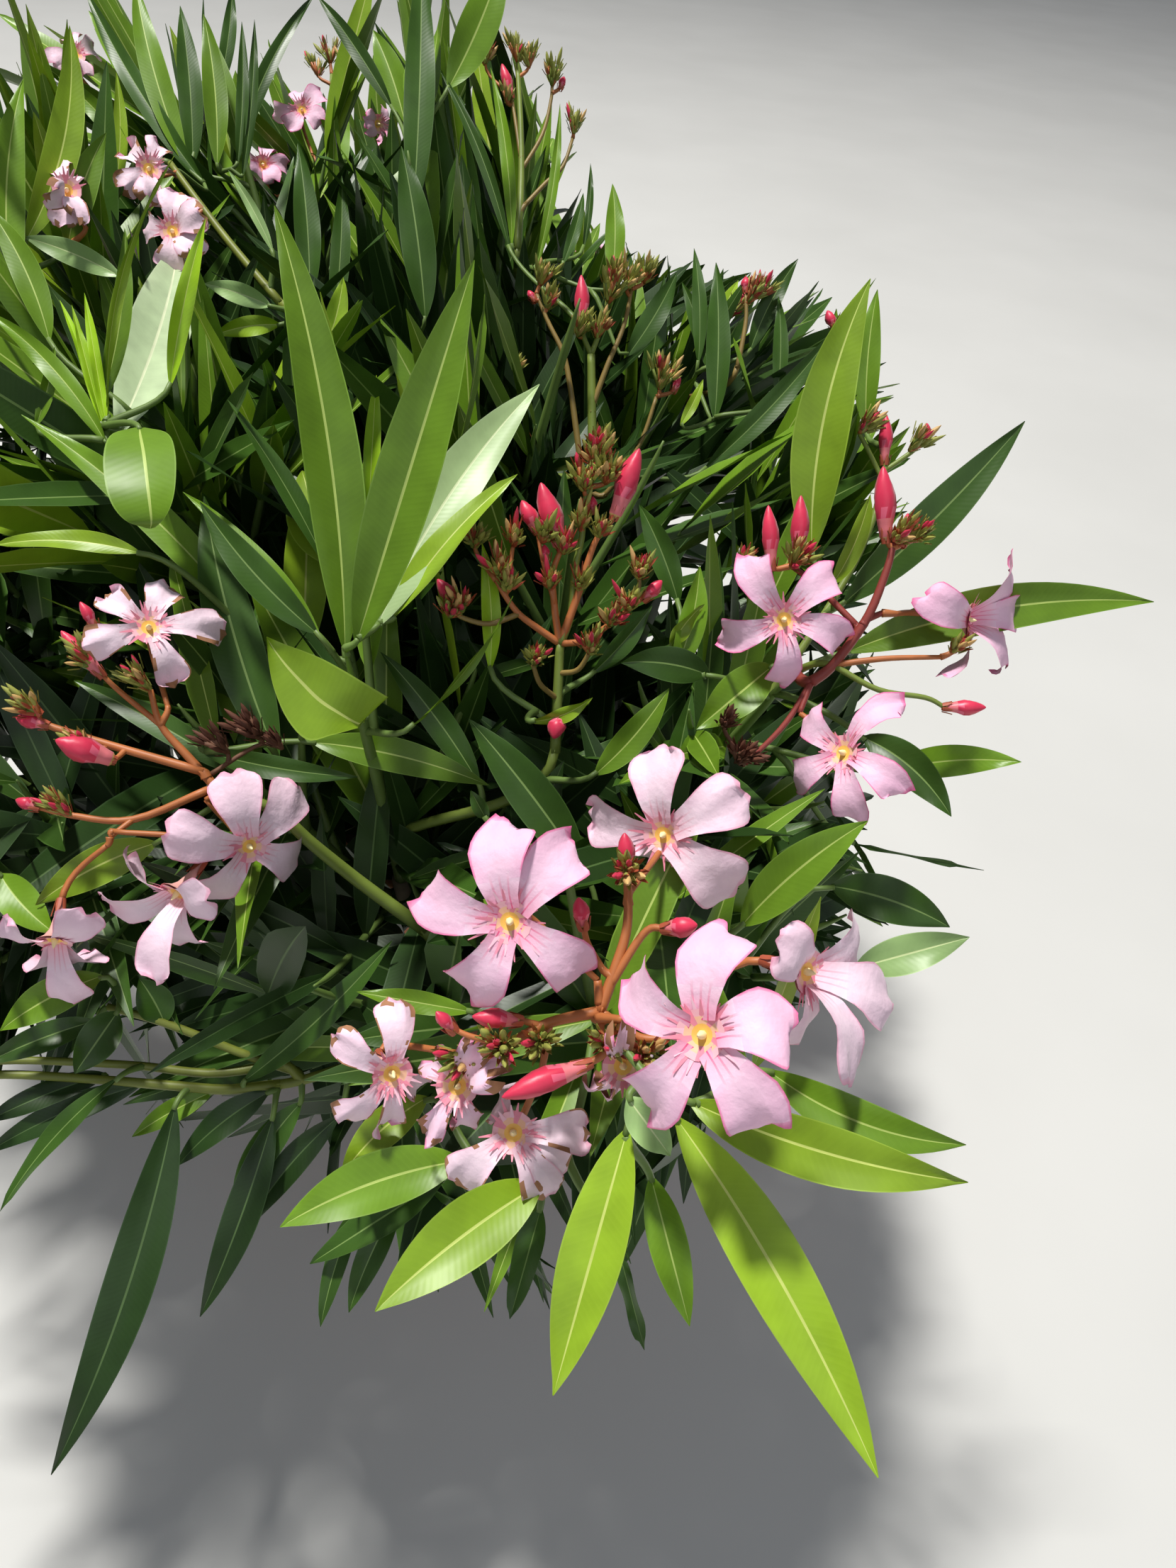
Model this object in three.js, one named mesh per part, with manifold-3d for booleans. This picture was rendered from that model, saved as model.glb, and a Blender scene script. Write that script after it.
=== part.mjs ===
// Potted oleander: a shrub of eight stems with whorled leaves and pink flowers, in a round clay pot.
// Millimetres, +Z up. The origin is the middle of the pot's flat underside, and -Y is the front.
import * as THREE from 'three';
import { mergeVertices } from 'three/addons/utils/BufferGeometryUtils.js';
import Module from 'manifold-3d';

const wasm = await Module();
wasm.setup();

// Fit: the gap that touching pieces keep, more at a limb's corners so that its flats keep it too
const fitGap = 0.3;
const cornerGap = 0.39;
const slantGap = 0.33;
// Room that a leaf keeps to a limb, and to the edge of its mass's space
const limbRoom = 1;
const spaceRoom = 0.5;

// Pot
const potHeight = 260;
const potRimRadius = 150;
const potRimBand = 48;
const potRimStep = 7;
const potBaseRadius = 108;
const potWall = 9;
const potFloor = 12;
const potSides = 24;

// Soil
const soilTop = 236;

// Stems and boughs
const stemFootRadius = 8.5;
const stemTipRadius = 4;
const rootFlare = 1.5;
const rootFlareHeight = 0.14;
const footSunk = 12;
const footLean = 0.0022;
const boughStartRadius = 4.6;
const boughTipRadius = 3;
const limbSides = 6;
const stemRings = 6;
const boughRings = 3;
// Share of a limb's length over which it keeps its first and its last direction
const stemStiffness = 0.36;
const boughStiffness = 0.4;

// Twigs of the foliage, three-sided
const twigSides = 3;
const twigStartRadius = 3.2;
const twigTipRadius = 2;
const twigRings = 2;
const twigLength = 140;
const spaceMiddle = 0.8;
const sideTwigCount = 2;
const sideTwigShare = 0.72;
const sideTwigShorten = 0.3;
const sideTwigRadius = 2.56;
const sideTwigStart = 0.3;
const sideTwigStep = 0.22;
const sideTwigTurn = 137.5;
const sideTwigSpread = 38;
const sideTwigRise = 0.25;

// Leaves: whorls of three, each whorl turned half a step from the one below
const leafLength = 112;
const leafLengthSpread = 0.16;
const leafTries = 9;
const leafTryShrink = 0.06;
const leafWidthShare = 0.21;
const leafThickness = 2;
const leafRoot = 2.4;
const leafRootOffset = 0.3;
const leafWidest = 0.46;
const leafDroop = 0.13;
const leavesPerWhorl = 3;
const mainWhorls = 5;
const sideWhorls = 3;
const firstWhorl = 0.34;
const lastWhorl = 0.98;
const lowWhorlSpread = 82;
const topWhorlSpread = 34;
const floweringWhorlSpread = 66;
const leafJitter = 9;
const leafTryJitter = 6;

// Flowers: five broad petals on a stalk
const flowerRadius = 26;
const flowerNotchRadius = 13;
const flowerDepth = 17;
const flowerThroat = 5;
const petals = 5;
const stalkLength = 46;
const stalkLengthSpread = 0.125;
const stalkSunk = 5;
const stalkRadius = 1.5;
const stalkSpread = 42;

// Seeds of the masses' own numbers
const firstSeed = 5171;
const seedStep = 7919;

// The crown, stem by stem. A stem's foot is on a ring in the soil, at a bearing in degrees from +X.
// Its first mass of foliage is at its tip, and the others are on boughs that leave it at boughFrom, a
// share of its length. A mass has its head, where its top leaves sit, the tilt of its twig from
// upright, the bearing that it tilts to, and the number of its open flowers.
const crown = [
  {
    name: 'front', footRing: 46, footBearing: -68,
    masses: [
      { name: 'front_bloom', head: [70, -388, 494], tilt: 36, bearing: -93, flowers: 6 },
      { name: 'front_right', head: [126, -314, 428], tilt: 42, bearing: -70, flowers: 0, boughFrom: 0.62 },
      { name: 'front_low', head: [0, -352, 388], tilt: 58, bearing: -100, flowers: 1, boughFrom: 0.5 },
    ],
  },
  {
    name: 'front_left', footRing: 44, footBearing: -112,
    masses: [
      { name: 'rosette', head: [-24, -272, 518], tilt: 12, bearing: -110, flowers: 0 },
      {
        name: 'left_bloom', head: [-84, -264, 466], tilt: 34, bearing: -165, flowers: 4, boughFrom: 0.62,
        twig: 95,
      },
    ],
  },
  {
    name: 'left', footRing: 50, footBearing: -158,
    masses: [
      { name: 'left_mid', head: [-138, -150, 530], tilt: 22, bearing: -150, flowers: 0 },
      { name: 'left_front', head: [-240, -160, 446], tilt: 48, bearing: -150, flowers: 2, boughFrom: 0.66 },
      { name: 'left_low', head: [-178, -286, 392], tilt: 62, bearing: -118, flowers: 0, boughFrom: 0.5 },
    ],
  },
  {
    name: 'right', footRing: 50, footBearing: -25,
    masses: [
      { name: 'right_bloom', head: [128, -236, 504], tilt: 24, bearing: -50, flowers: 3 },
      { name: 'right_low', head: [160, -176, 392], tilt: 56, bearing: -32, flowers: 0, boughFrom: 0.42 },
      { name: 'right_back', head: [160, -84, 492], tilt: 34, bearing: -14, flowers: 0, boughFrom: 0.72 },
    ],
  },
  {
    name: 'middle', footRing: 8, footBearing: 60,
    masses: [
      { name: 'bud_mid', head: [44, -176, 530], tilt: 14, bearing: -80, flowers: 0 },
      { name: 'bud_back', head: [30, -36, 556], tilt: 12, bearing: 10, flowers: 0, boughFrom: 0.55 },
      { name: 'top', head: [-64, 40, 590], tilt: 14, bearing: 140, flowers: 1, boughFrom: 0.5 },
    ],
  },
  {
    name: 'far_left', footRing: 52, footBearing: 172,
    masses: [
      { name: 'far_left', head: [-262, -10, 540], tilt: 32, bearing: 178, flowers: 2 },
      { name: 'far_left_low', head: [-336, -92, 414], tilt: 58, bearing: -166, flowers: 1, boughFrom: 0.66 },
      { name: 'far_left_back', head: [-326, 100, 452], tilt: 50, bearing: 160, flowers: 1, boughFrom: 0.6 },
    ],
  },
  {
    name: 'back_left', footRing: 50, footBearing: 122,
    masses: [
      { name: 'back_left', head: [-184, 146, 562], tilt: 26, bearing: 135, flowers: 3 },
      { name: 'back_left_low', head: [-276, 232, 436], tilt: 52, bearing: 138, flowers: 1, boughFrom: 0.6 },
      { name: 'back', head: [-132, 290, 486], tilt: 44, bearing: 108, flowers: 3, boughFrom: 0.64 },
    ],
  },
  {
    name: 'back_right', footRing: 50, footBearing: 62,
    masses: [
      { name: 'back_mid', head: [-20, 156, 556], tilt: 22, bearing: 100, flowers: 2 },
      { name: 'back_right', head: [92, 74, 486], tilt: 38, bearing: 40, flowers: 1, boughFrom: 0.6 },
      { name: 'back_low', head: [18, 262, 430], tilt: 54, bearing: 82, flowers: 1, boughFrom: 0.6 },
    ],
  },
];

const up = new THREE.Vector3(0, 0, 1);

function material(color, roughness) {
  return new THREE.MeshStandardMaterial({ color, roughness, metalness: 0 });
}

// Seeded numbers between 0 and 1, the same on every run
function seededNumbers(seed) {
  let state = seed;
  return () => {
    state = (state * 1664525 + 1013904223) % 4294967296;
    return state / 4294967296;
  };
}

function radians(degrees) {
  return THREE.MathUtils.degToRad(degrees);
}

// A unit vector that tilts from upright towards a bearing
function tilted(tilt, bearing) {
  const flat = Math.sin(radians(tilt));
  return new THREE.Vector3(
    flat * Math.cos(radians(bearing)),
    flat * Math.sin(radians(bearing)),
    Math.cos(radians(tilt)),
  );
}

function along(point, direction, distance) {
  return point.clone().addScaledVector(direction, distance);
}

// Two unit vectors square to a direction
function sideways(direction) {
  const helper = Math.abs(direction.z) > 0.9 ? new THREE.Vector3(1, 0, 0) : up;
  const first = new THREE.Vector3().crossVectors(helper, direction).normalize();
  const second = new THREE.Vector3().crossVectors(direction, first);
  return [first, second];
}

// A direction spread from an axis, at a turn round it
function spreadFrom(axis, spread, turn) {
  const [first, second] = sideways(axis);
  const outward = first.multiplyScalar(Math.cos(radians(turn)));
  outward.addScaledVector(second, Math.sin(radians(turn)));
  const direction = axis.clone().multiplyScalar(Math.cos(radians(spread)));
  return direction.addScaledVector(outward, Math.sin(radians(spread)));
}

function solidOf(geometry) {
  geometry.deleteAttribute('normal');
  geometry.deleteAttribute('uv');
  const merged = mergeVertices(geometry, 1e-4);
  const mesh = new wasm.Mesh({
    numProp: 3,
    vertProperties: new Float32Array(merged.attributes.position.array),
    triVerts: new Uint32Array(merged.index.array),
  });
  return new wasm.Manifold(mesh);
}

function meshOf(name, solid, look) {
  const { vertProperties, triVerts } = solid.getMesh();
  const geometry = new THREE.BufferGeometry();
  geometry.setAttribute('position', new THREE.BufferAttribute(vertProperties, 3));
  geometry.setIndex(new THREE.BufferAttribute(triVerts, 1));
  geometry.computeVertexNormals();
  const mesh = new THREE.Mesh(geometry, look);
  mesh.name = name;
  return mesh;
}

// A curve that leaves its start and reaches its end in given directions
function limbCurve(start, startDirection, end, endDirection, stiffness) {
  const handle = start.distanceTo(end) * stiffness;
  return new THREE.CubicBezierCurve3(
    start,
    along(start, startDirection, handle),
    along(end, endDirection, -handle),
    end,
  );
}

// A closed cylinder bent along a curve, whose radius follows a function of the share of its length
function limb(curve, radiusAt, sides, rings) {
  const geometry = new THREE.CylinderGeometry(1, 1, 1, sides, rings);
  const frames = curve.computeFrenetFrames(rings, false);
  const position = geometry.attributes.position;
  for (let i = 0; i < position.count; i += 1) {
    const share = position.getY(i) + 0.5;
    const ring = Math.round(share * rings);
    const radius = radiusAt(share);
    const point = along(curve.getPointAt(share), frames.normals[ring], position.getX(i) * radius);
    point.addScaledVector(frames.binormals[ring], -position.getZ(i) * radius);
    position.setXYZ(i, point.x, point.y, point.z);
  }
  return solidOf(geometry);
}

function taper(from, to) {
  return (share) => THREE.MathUtils.lerp(from, to, share);
}

function stemRadius(share) {
  const flare = Math.max(0, 1 - share / rootFlareHeight);
  return THREE.MathUtils.lerp(stemFootRadius, stemTipRadius, share) * (1 + (rootFlare - 1) * flare);
}

// A leaf: a long kite with a raised midrib and a drooping tip, of eight faces
function leafPoints(root, direction, axis, length) {
  const side = new THREE.Vector3().crossVectors(axis, direction).normalize();
  const face = new THREE.Vector3().crossVectors(direction, side);
  const half = length * leafWidthShare / 2;
  const base = along(root, direction, leafRootOffset);
  const middle = along(root, direction, length * leafWidest);
  middle.addScaledVector(up, -length * leafDroop * leafWidest * leafWidest);
  const tip = along(root, direction, length);
  tip.addScaledVector(up, -length * leafDroop);
  return [
    along(base, face, leafRoot / 2),
    along(base, face, -leafRoot / 2),
    along(middle, side, half),
    along(middle, side, -half),
    along(middle, face, leafThickness),
    tip,
  ];
}

const leafFaces = [0, 4, 2, 0, 3, 4, 4, 5, 2, 4, 3, 5, 0, 2, 1, 0, 1, 3, 1, 2, 3, 2, 5, 3];

function leafSolid(points) {
  const geometry = new THREE.BufferGeometry().setFromPoints(points);
  geometry.setIndex(leafFaces);
  return solidOf(geometry);
}

// A flower: a five-pointed cone with its point back on the stalk and a hollow throat in front
function flowerSolid(centre, direction) {
  const geometry = new THREE.ConeGeometry(1, 1, petals * 2, 1);
  const [first, second] = sideways(direction);
  const position = geometry.attributes.position;
  for (let i = 0; i < position.count; i += 1) {
    const x = position.getX(i);
    const z = position.getZ(i);
    const onRim = Math.hypot(x, z) > 0.5;
    const isBack = position.getY(i) > 0;
    const spoke = Math.round(Math.atan2(x, z) / Math.PI * petals);
    const radius = onRim ? (spoke % 2 === 0 ? flowerRadius : flowerNotchRadius) : 0;
    const depth = isBack ? -flowerDepth : onRim ? 0 : -flowerThroat;
    const point = along(centre, direction, depth);
    point.addScaledVector(first, x * radius);
    point.addScaledVector(second, z * radius);
    position.setXYZ(i, point.x, point.y, point.z);
  }
  return solidOf(geometry);
}

function boxesTouch(a, b) {
  return [0, 1, 2].every((axis) => a.min[axis] <= b.max[axis] && b.min[axis] <= a.max[axis]);
}

function touches(solid, others) {
  const box = solid.boundingBox();
  return others.some((other) => boxesTouch(box, other.box) && !solid.intersect(other.solid).isEmpty());
}

// Pot and soil: one turned profile each, from the axis round and back to it
function turned(profile) {
  const points = profile.map(([radius, height]) => new THREE.Vector2(radius, height));
  const geometry = new THREE.LatheGeometry(points, potSides);
  geometry.rotateX(Math.PI / 2);
  return solidOf(geometry);
}

function potRadiusAt(height) {
  const bodyRadius = potRimRadius - potRimStep;
  return THREE.MathUtils.mapLinear(height, 0, potHeight, potBaseRadius, bodyRadius);
}

function potSolid() {
  const bandFoot = potHeight - potRimBand;
  return turned([
    [0, 0],
    [potBaseRadius, 0],
    [potRadiusAt(bandFoot), bandFoot],
    [potRadiusAt(bandFoot) + potRimStep, bandFoot],
    [potRimRadius, potHeight],
    [potRadiusAt(potHeight) - potWall, potHeight],
    [potRadiusAt(potFloor) - potWall, potFloor],
    [0, potFloor],
  ]);
}

function soilSolid() {
  const foot = potFloor + fitGap;
  const inset = potWall + slantGap;
  return turned([
    [0, foot],
    [potRadiusAt(foot) - inset, foot],
    [potRadiusAt(soilTop) - inset, soilTop],
    [0, soilTop],
  ]);
}

// Limbs: every stem and bough, with the curve that its foliage goes on from
function stemCurve(stem) {
  const foot = tilted(90, stem.footBearing).multiplyScalar(stem.footRing);
  foot.z = soilTop - footSunk;
  const tip = stem.masses[0].start;
  const lean = new THREE.Vector3(tip.x - foot.x, tip.y - foot.y, 0).multiplyScalar(footLean);
  const startDirection = up.clone().add(lean).normalize();
  return limbCurve(foot, startDirection, tip, stem.masses[0].direction, stemStiffness);
}

function boughCurve(stem, mass) {
  const start = stem.curve.getPointAt(mass.boughFrom);
  const toTip = mass.start.clone().sub(start).normalize();
  const startDirection = toTip.add(stem.curve.getTangentAt(mass.boughFrom)).normalize();
  return limbCurve(start, startDirection, mass.start, mass.direction, boughStiffness);
}

function planMasses() {
  for (const stem of crown) {
    for (const mass of stem.masses) {
      const length = mass.twig ?? twigLength;
      mass.head = new THREE.Vector3(...mass.head);
      mass.direction = tilted(mass.tilt, mass.bearing);
      mass.start = along(mass.head, mass.direction, -length);
      mass.middle = along(mass.start, mass.direction, length * spaceMiddle);
      const foot = along(mass.start, mass.direction, fitGap);
      mass.mainTwig = new THREE.LineCurve3(foot, mass.head);
    }
  }
}

function twigSolid(curve, room) {
  return limb(curve, taper(twigStartRadius + room, twigTipRadius + room), twigSides, twigRings);
}

// Is every point nearer to this mass's middle than to any other's?
function insideSpace(points, mass, masses) {
  return masses.every((other) => {
    if (other === mass) return true;
    const between = mass.middle.clone().sub(other.middle).normalize();
    const halfway = mass.middle.clone().add(other.middle).multiplyScalar(0.5);
    return points.every((point) => point.clone().sub(halfway).dot(between) > spaceRoom);
  });
}

// Side twigs leave the main twig one after the other, each turned by the same angle
function sideTwigs(mass, masses, obstacles) {
  const twigs = [];
  const turnStart = mass.random() * 360;
  for (let i = 0; i < sideTwigCount; i += 1) {
    const share = sideTwigStart + sideTwigStep * i;
    const start = mass.mainTwig.getPointAt(share);
    const spread = sideTwigSpread + leafJitter * (mass.random() - 0.5);
    const direction = spreadFrom(mass.direction, spread, turnStart + sideTwigTurn * i);
    const length = mass.mainTwig.getLength() * sideTwigShare * (1 - share * sideTwigShorten);
    const end = along(start, direction.addScaledVector(up, sideTwigRise).normalize(), length);
    const curve = new THREE.LineCurve3(start, end);
    const solid = limb(curve, taper(sideTwigRadius, twigTipRadius), twigSides, 1);
    const clear = insideSpace([end], mass, masses) && !touches(solid, obstacles);
    if (clear) twigs.push({ curve, solid, whorls: sideWhorls });
  }
  return twigs;
}

// Leaves in whorls up a twig: the low ones spread wide, the top ones close round the tip
function growLeaves(twig, mass, masses, obstacles) {
  const topSpread = mass.flowers > 0 ? floweringWhorlSpread : topWhorlSpread;
  const axis = twig.curve.getTangentAt(0);
  const turnStart = mass.random() * 360;
  for (let whorl = 0; whorl < twig.whorls; whorl += 1) {
    const rise = whorl / (twig.whorls - 1);
    const share = THREE.MathUtils.lerp(firstWhorl, lastWhorl, rise);
    const root = twig.curve.getPointAt(share);
    for (let i = 0; i < leavesPerWhorl; i += 1) {
      const turn = turnStart + (i + whorl / 2) * 360 / leavesPerWhorl;
      const spread = THREE.MathUtils.lerp(lowWhorlSpread, topSpread, rise);
      const full = leafLength * (1 + leafLengthSpread * (mass.random() - 0.5) * 2);
      for (let attempt = 0; attempt < leafTries; attempt += 1) {
        const jitter = leafJitter + leafTryJitter * attempt;
        const ownTurn = turn + jitter * (mass.random() - 0.5) * 2;
        const direction = spreadFrom(axis, spread + jitter * (mass.random() - 0.5), ownTurn);
        const points = leafPoints(root, direction, axis, full * (1 - leafTryShrink * attempt));
        if (!insideSpace(points, mass, masses)) continue;
        const leaf = obstacle(mass, leafSolid(points));
        if (touches(leaf.solid, obstacles)) continue;
        if (touches(leaf.solid, mass.outgrowth)) continue;
        mass.outgrowth.push(leaf);
        break;
      }
    }
  }
}

// Flowers stand round the head on stalks that spread from it
function growFlowers(mass, masses, obstacles) {
  const turnStart = mass.random() * 360;
  for (let i = 0; i < mass.flowers; i += 1) {
    const turn = turnStart + i * 360 / mass.flowers;
    const spread = mass.flowers > 1 ? stalkSpread + leafJitter * mass.random() : 0;
    const direction = spreadFrom(mass.direction, spread, turn);
    const length = stalkLength * (1 + stalkLengthSpread * (mass.random() - 0.5) * 2);
    const centre = along(mass.head, direction, length + flowerDepth);
    const root = along(mass.head, direction, -stalkRadius);
    const stalkEnd = along(mass.head, direction, length + stalkSunk);
    const stalk = limb(new THREE.LineCurve3(root, stalkEnd), taper(stalkRadius, stalkRadius), twigSides, 1);
    const flower = obstacle(mass, flowerSolid(centre, direction));
    const [first, second] = sideways(direction);
    const rim = [first, second].flatMap((side) => [
      along(centre, side, flowerRadius),
      along(centre, side, -flowerRadius),
    ]);
    if (!insideSpace(rim, mass, masses)) continue;
    if (touches(flower.solid, obstacles)) continue;
    if (touches(flower.solid, mass.outgrowth)) continue;
    mass.outgrowth.push(flower);
    mass.outgrowth.push(obstacle(mass, stalk));
  }
}

function foliage(mass, masses, obstacles) {
  const main = { curve: mass.mainTwig, solid: twigSolid(mass.mainTwig, 0), whorls: mainWhorls };
  const twigs = [main, ...sideTwigs(mass, masses, obstacles)];
  mass.outgrowth = [];
  growFlowers(mass, masses, obstacles);
  for (const twig of twigs) growLeaves(twig, mass, masses, obstacles);
  return wasm.Manifold.union([...twigs, ...mass.outgrowth].map((piece) => piece.solid));
}

function obstacle(owner, solid) {
  return { owner, solid, box: solid.boundingBox() };
}

const clay = material(0xb5654a, 0.85);
const earth = material(0x4a3526, 1);
const bark = material(0x7d6a4a, 0.9);
const greenWood = material(0x7f8f4a, 0.7);

function build() {
  const plant = new THREE.Group();
  const pot = potSolid();
  const soil = soilSolid();
  plant.add(meshOf('pot', pot, clay));
  plant.add(meshOf('soil', soil, earth));

  planMasses();
  const masses = crown.flatMap((stem) => stem.masses);
  const obstacles = [obstacle(null, pot), obstacle(null, soil)];

  for (const stem of crown) {
    stem.curve = stemCurve(stem);
    const stemSolid = limb(stem.curve, stemRadius, limbSides, stemRings);
    const flatFooted = stemSolid.trimByPlane([0, 0, 1], soilTop + fitGap);
    plant.add(meshOf(`stem_${stem.name}`, flatFooted, bark));
    const room = (gap) => (share) => stemRadius(share) + gap;
    const notch = limb(stem.curve, room(cornerGap), limbSides, stemRings);
    obstacles.push(obstacle(null, limb(stem.curve, room(limbRoom), limbSides, stemRings)));
    for (const mass of stem.masses.slice(1)) {
      const curve = boughCurve(stem, mass);
      const bough = limb(curve, taper(boughStartRadius, boughTipRadius), limbSides, boughRings);
      plant.add(meshOf(`bough_${mass.name}`, bough.subtract(notch), greenWood));
      const wide = taper(boughStartRadius + limbRoom, boughTipRadius + limbRoom);
      obstacles.push(obstacle(null, limb(curve, wide, limbSides, boughRings)));
    }
  }
  for (const mass of masses) obstacles.push(obstacle(mass, twigSolid(mass.mainTwig, limbRoom)));

  masses.forEach((mass, index) => {
    mass.random = seededNumbers(firstSeed + seedStep * index);
    const others = obstacles.filter((other) => other.owner !== mass);
    const leafGreen = material(0x5f8a2f, 0.55);
    plant.add(meshOf(`foliage_${mass.name}`, foliage(mass, masses, others), leafGreen));
  });
  return plant;
}

export default build();
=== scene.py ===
import math

import bpy
import numpy as np
from mathutils import Matrix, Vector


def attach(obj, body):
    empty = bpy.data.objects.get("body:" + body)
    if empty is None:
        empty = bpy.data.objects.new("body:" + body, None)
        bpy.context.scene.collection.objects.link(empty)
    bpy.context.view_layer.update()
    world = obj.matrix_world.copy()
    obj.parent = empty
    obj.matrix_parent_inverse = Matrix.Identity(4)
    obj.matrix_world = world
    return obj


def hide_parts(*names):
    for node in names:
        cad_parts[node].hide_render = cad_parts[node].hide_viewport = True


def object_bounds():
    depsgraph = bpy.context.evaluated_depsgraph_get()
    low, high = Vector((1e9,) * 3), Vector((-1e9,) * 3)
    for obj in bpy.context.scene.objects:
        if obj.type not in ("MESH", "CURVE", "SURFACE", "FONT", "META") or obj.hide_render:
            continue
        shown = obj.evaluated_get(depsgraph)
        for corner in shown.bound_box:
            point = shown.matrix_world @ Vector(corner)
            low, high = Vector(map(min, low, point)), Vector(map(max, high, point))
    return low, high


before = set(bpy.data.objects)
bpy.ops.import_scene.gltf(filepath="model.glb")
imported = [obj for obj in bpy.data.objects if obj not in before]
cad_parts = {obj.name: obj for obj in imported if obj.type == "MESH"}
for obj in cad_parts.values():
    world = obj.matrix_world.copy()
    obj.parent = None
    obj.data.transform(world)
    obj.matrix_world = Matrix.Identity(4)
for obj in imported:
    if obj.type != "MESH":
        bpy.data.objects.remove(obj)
cad_low, cad_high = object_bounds()

MM = 0.001
UP = np.array([0.0, 0.0, 1.0])

# Camera: where the photograph was taken from, and how it was turned
PHOTO_WIDTH = 1659
PHOTO_HEIGHT = 2212
FOCAL_PIXELS = 1600.0
CAMERA_AT = np.array([60.0, -570.0, 740.0])
CAMERA_PITCH = math.radians(42.0)
CAMERA_ROLL = math.radians(6.8)
SENSOR_WIDTH = 36.0

# The same sizes as the part's source
SOIL_TOP = 236.0
POT_HEIGHT = 260.0
POT_RIM_RADIUS = 150.0
POT_RIM_BAND = 48.0
POT_RIM_STEP = 7.0
POT_BASE_RADIUS = 108.0
POT_WALL = 9.0
STEM_FOOT_RADIUS = 8.5
STEM_TIP_RADIUS = 4.0
ROOT_FLARE = 1.5
ROOT_FLARE_HEIGHT = 0.14
FOOT_SUNK = 12.0
FOOT_LEAN = 0.0022
BOUGH_START_RADIUS = 4.6
BOUGH_TIP_RADIUS = 3.0
STEM_STIFFNESS = 0.36
BOUGH_STIFFNESS = 0.4
TWIG_START_RADIUS = 3.0
TWIG_TIP_RADIUS = 1.9
SPACE_MIDDLE = 0.8
FIRST_SEED = 5171
SEED_STEP = 7919
STALK_LENGTH = 46.0
STALK_LENGTH_SPREAD = 0.125
STALK_SPREAD = 42.0
FLOWER_DEPTH = 17.0
LEAF_LENGTH = 116.0
LEAF_LENGTH_SPREAD = 0.16
LEAF_WIDTH_SHARE = (0.115, 0.18)
LEAF_DROOP = 0.13
LEAF_JITTER = 9.0
# Spread of a twig's lowest and highest whorls: on upright shoots, and on the leaning outer ones
UPRIGHT_SPREADS = (46.0, 15.0)
LEANING_SPREADS = (82.0, 46.0)
GOLDEN_TURN = 137.5

# The crown, stem by stem, as in the part's source: name, ring and bearing of the foot, and then
# each mass with its head, tilt, bearing, flowers, where its bough leaves the stem, and twig length
CROWN = [
    ("front", 46, -68, [
        ("front_bloom", (70, -388, 494), 36, -93, 6, None, 140),
        ("front_right", (126, -314, 428), 42, -70, 0, 0.62, 140),
        ("front_low", (0, -352, 388), 58, -100, 1, 0.5, 140),
    ]),
    ("front_left", 44, -112, [
        ("rosette", (-24, -272, 518), 12, -110, 0, None, 140),
        ("left_bloom", (-84, -264, 466), 34, -165, 4, 0.62, 95),
    ]),
    ("left", 50, -158, [
        ("left_mid", (-138, -150, 530), 22, -150, 0, None, 140),
        ("left_front", (-240, -160, 446), 48, -150, 2, 0.66, 140),
        ("left_low", (-178, -286, 392), 62, -118, 0, 0.5, 140),
    ]),
    ("right", 50, -25, [
        ("right_bloom", (128, -236, 504), 24, -50, 3, None, 140),
        ("right_low", (160, -176, 392), 56, -32, 0, 0.42, 140),
        ("right_back", (160, -84, 492), 34, -14, 0, 0.72, 140),
    ]),
    ("middle", 8, 60, [
        ("bud_mid", (44, -176, 530), 14, -80, 0, None, 140),
        ("bud_back", (30, -36, 556), 12, 10, 0, 0.55, 140),
        ("top", (-64, 40, 590), 14, 140, 1, 0.5, 140),
    ]),
    ("far_left", 52, 172, [
        ("far_left", (-262, -10, 540), 32, 178, 2, None, 140),
        ("far_left_low", (-336, -92, 414), 58, -166, 1, 0.66, 140),
        ("far_left_back", (-326, 100, 452), 50, 160, 1, 0.6, 140),
    ]),
    ("back_left", 50, 122, [
        ("back_left", (-184, 146, 562), 26, 135, 3, None, 140),
        ("back_left_low", (-276, 232, 436), 52, 138, 1, 0.6, 140),
        ("back", (-132, 290, 486), 44, 108, 3, 0.64, 140),
    ]),
    ("back_right", 50, 62, [
        ("back_mid", (-20, 156, 556), 22, 100, 2, None, 140),
        ("back_right", (92, 74, 486), 38, 40, 1, 0.6, 140),
        ("back_low", (18, 262, 430), 54, 82, 1, 0.6, 140),
    ]),
]

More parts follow.
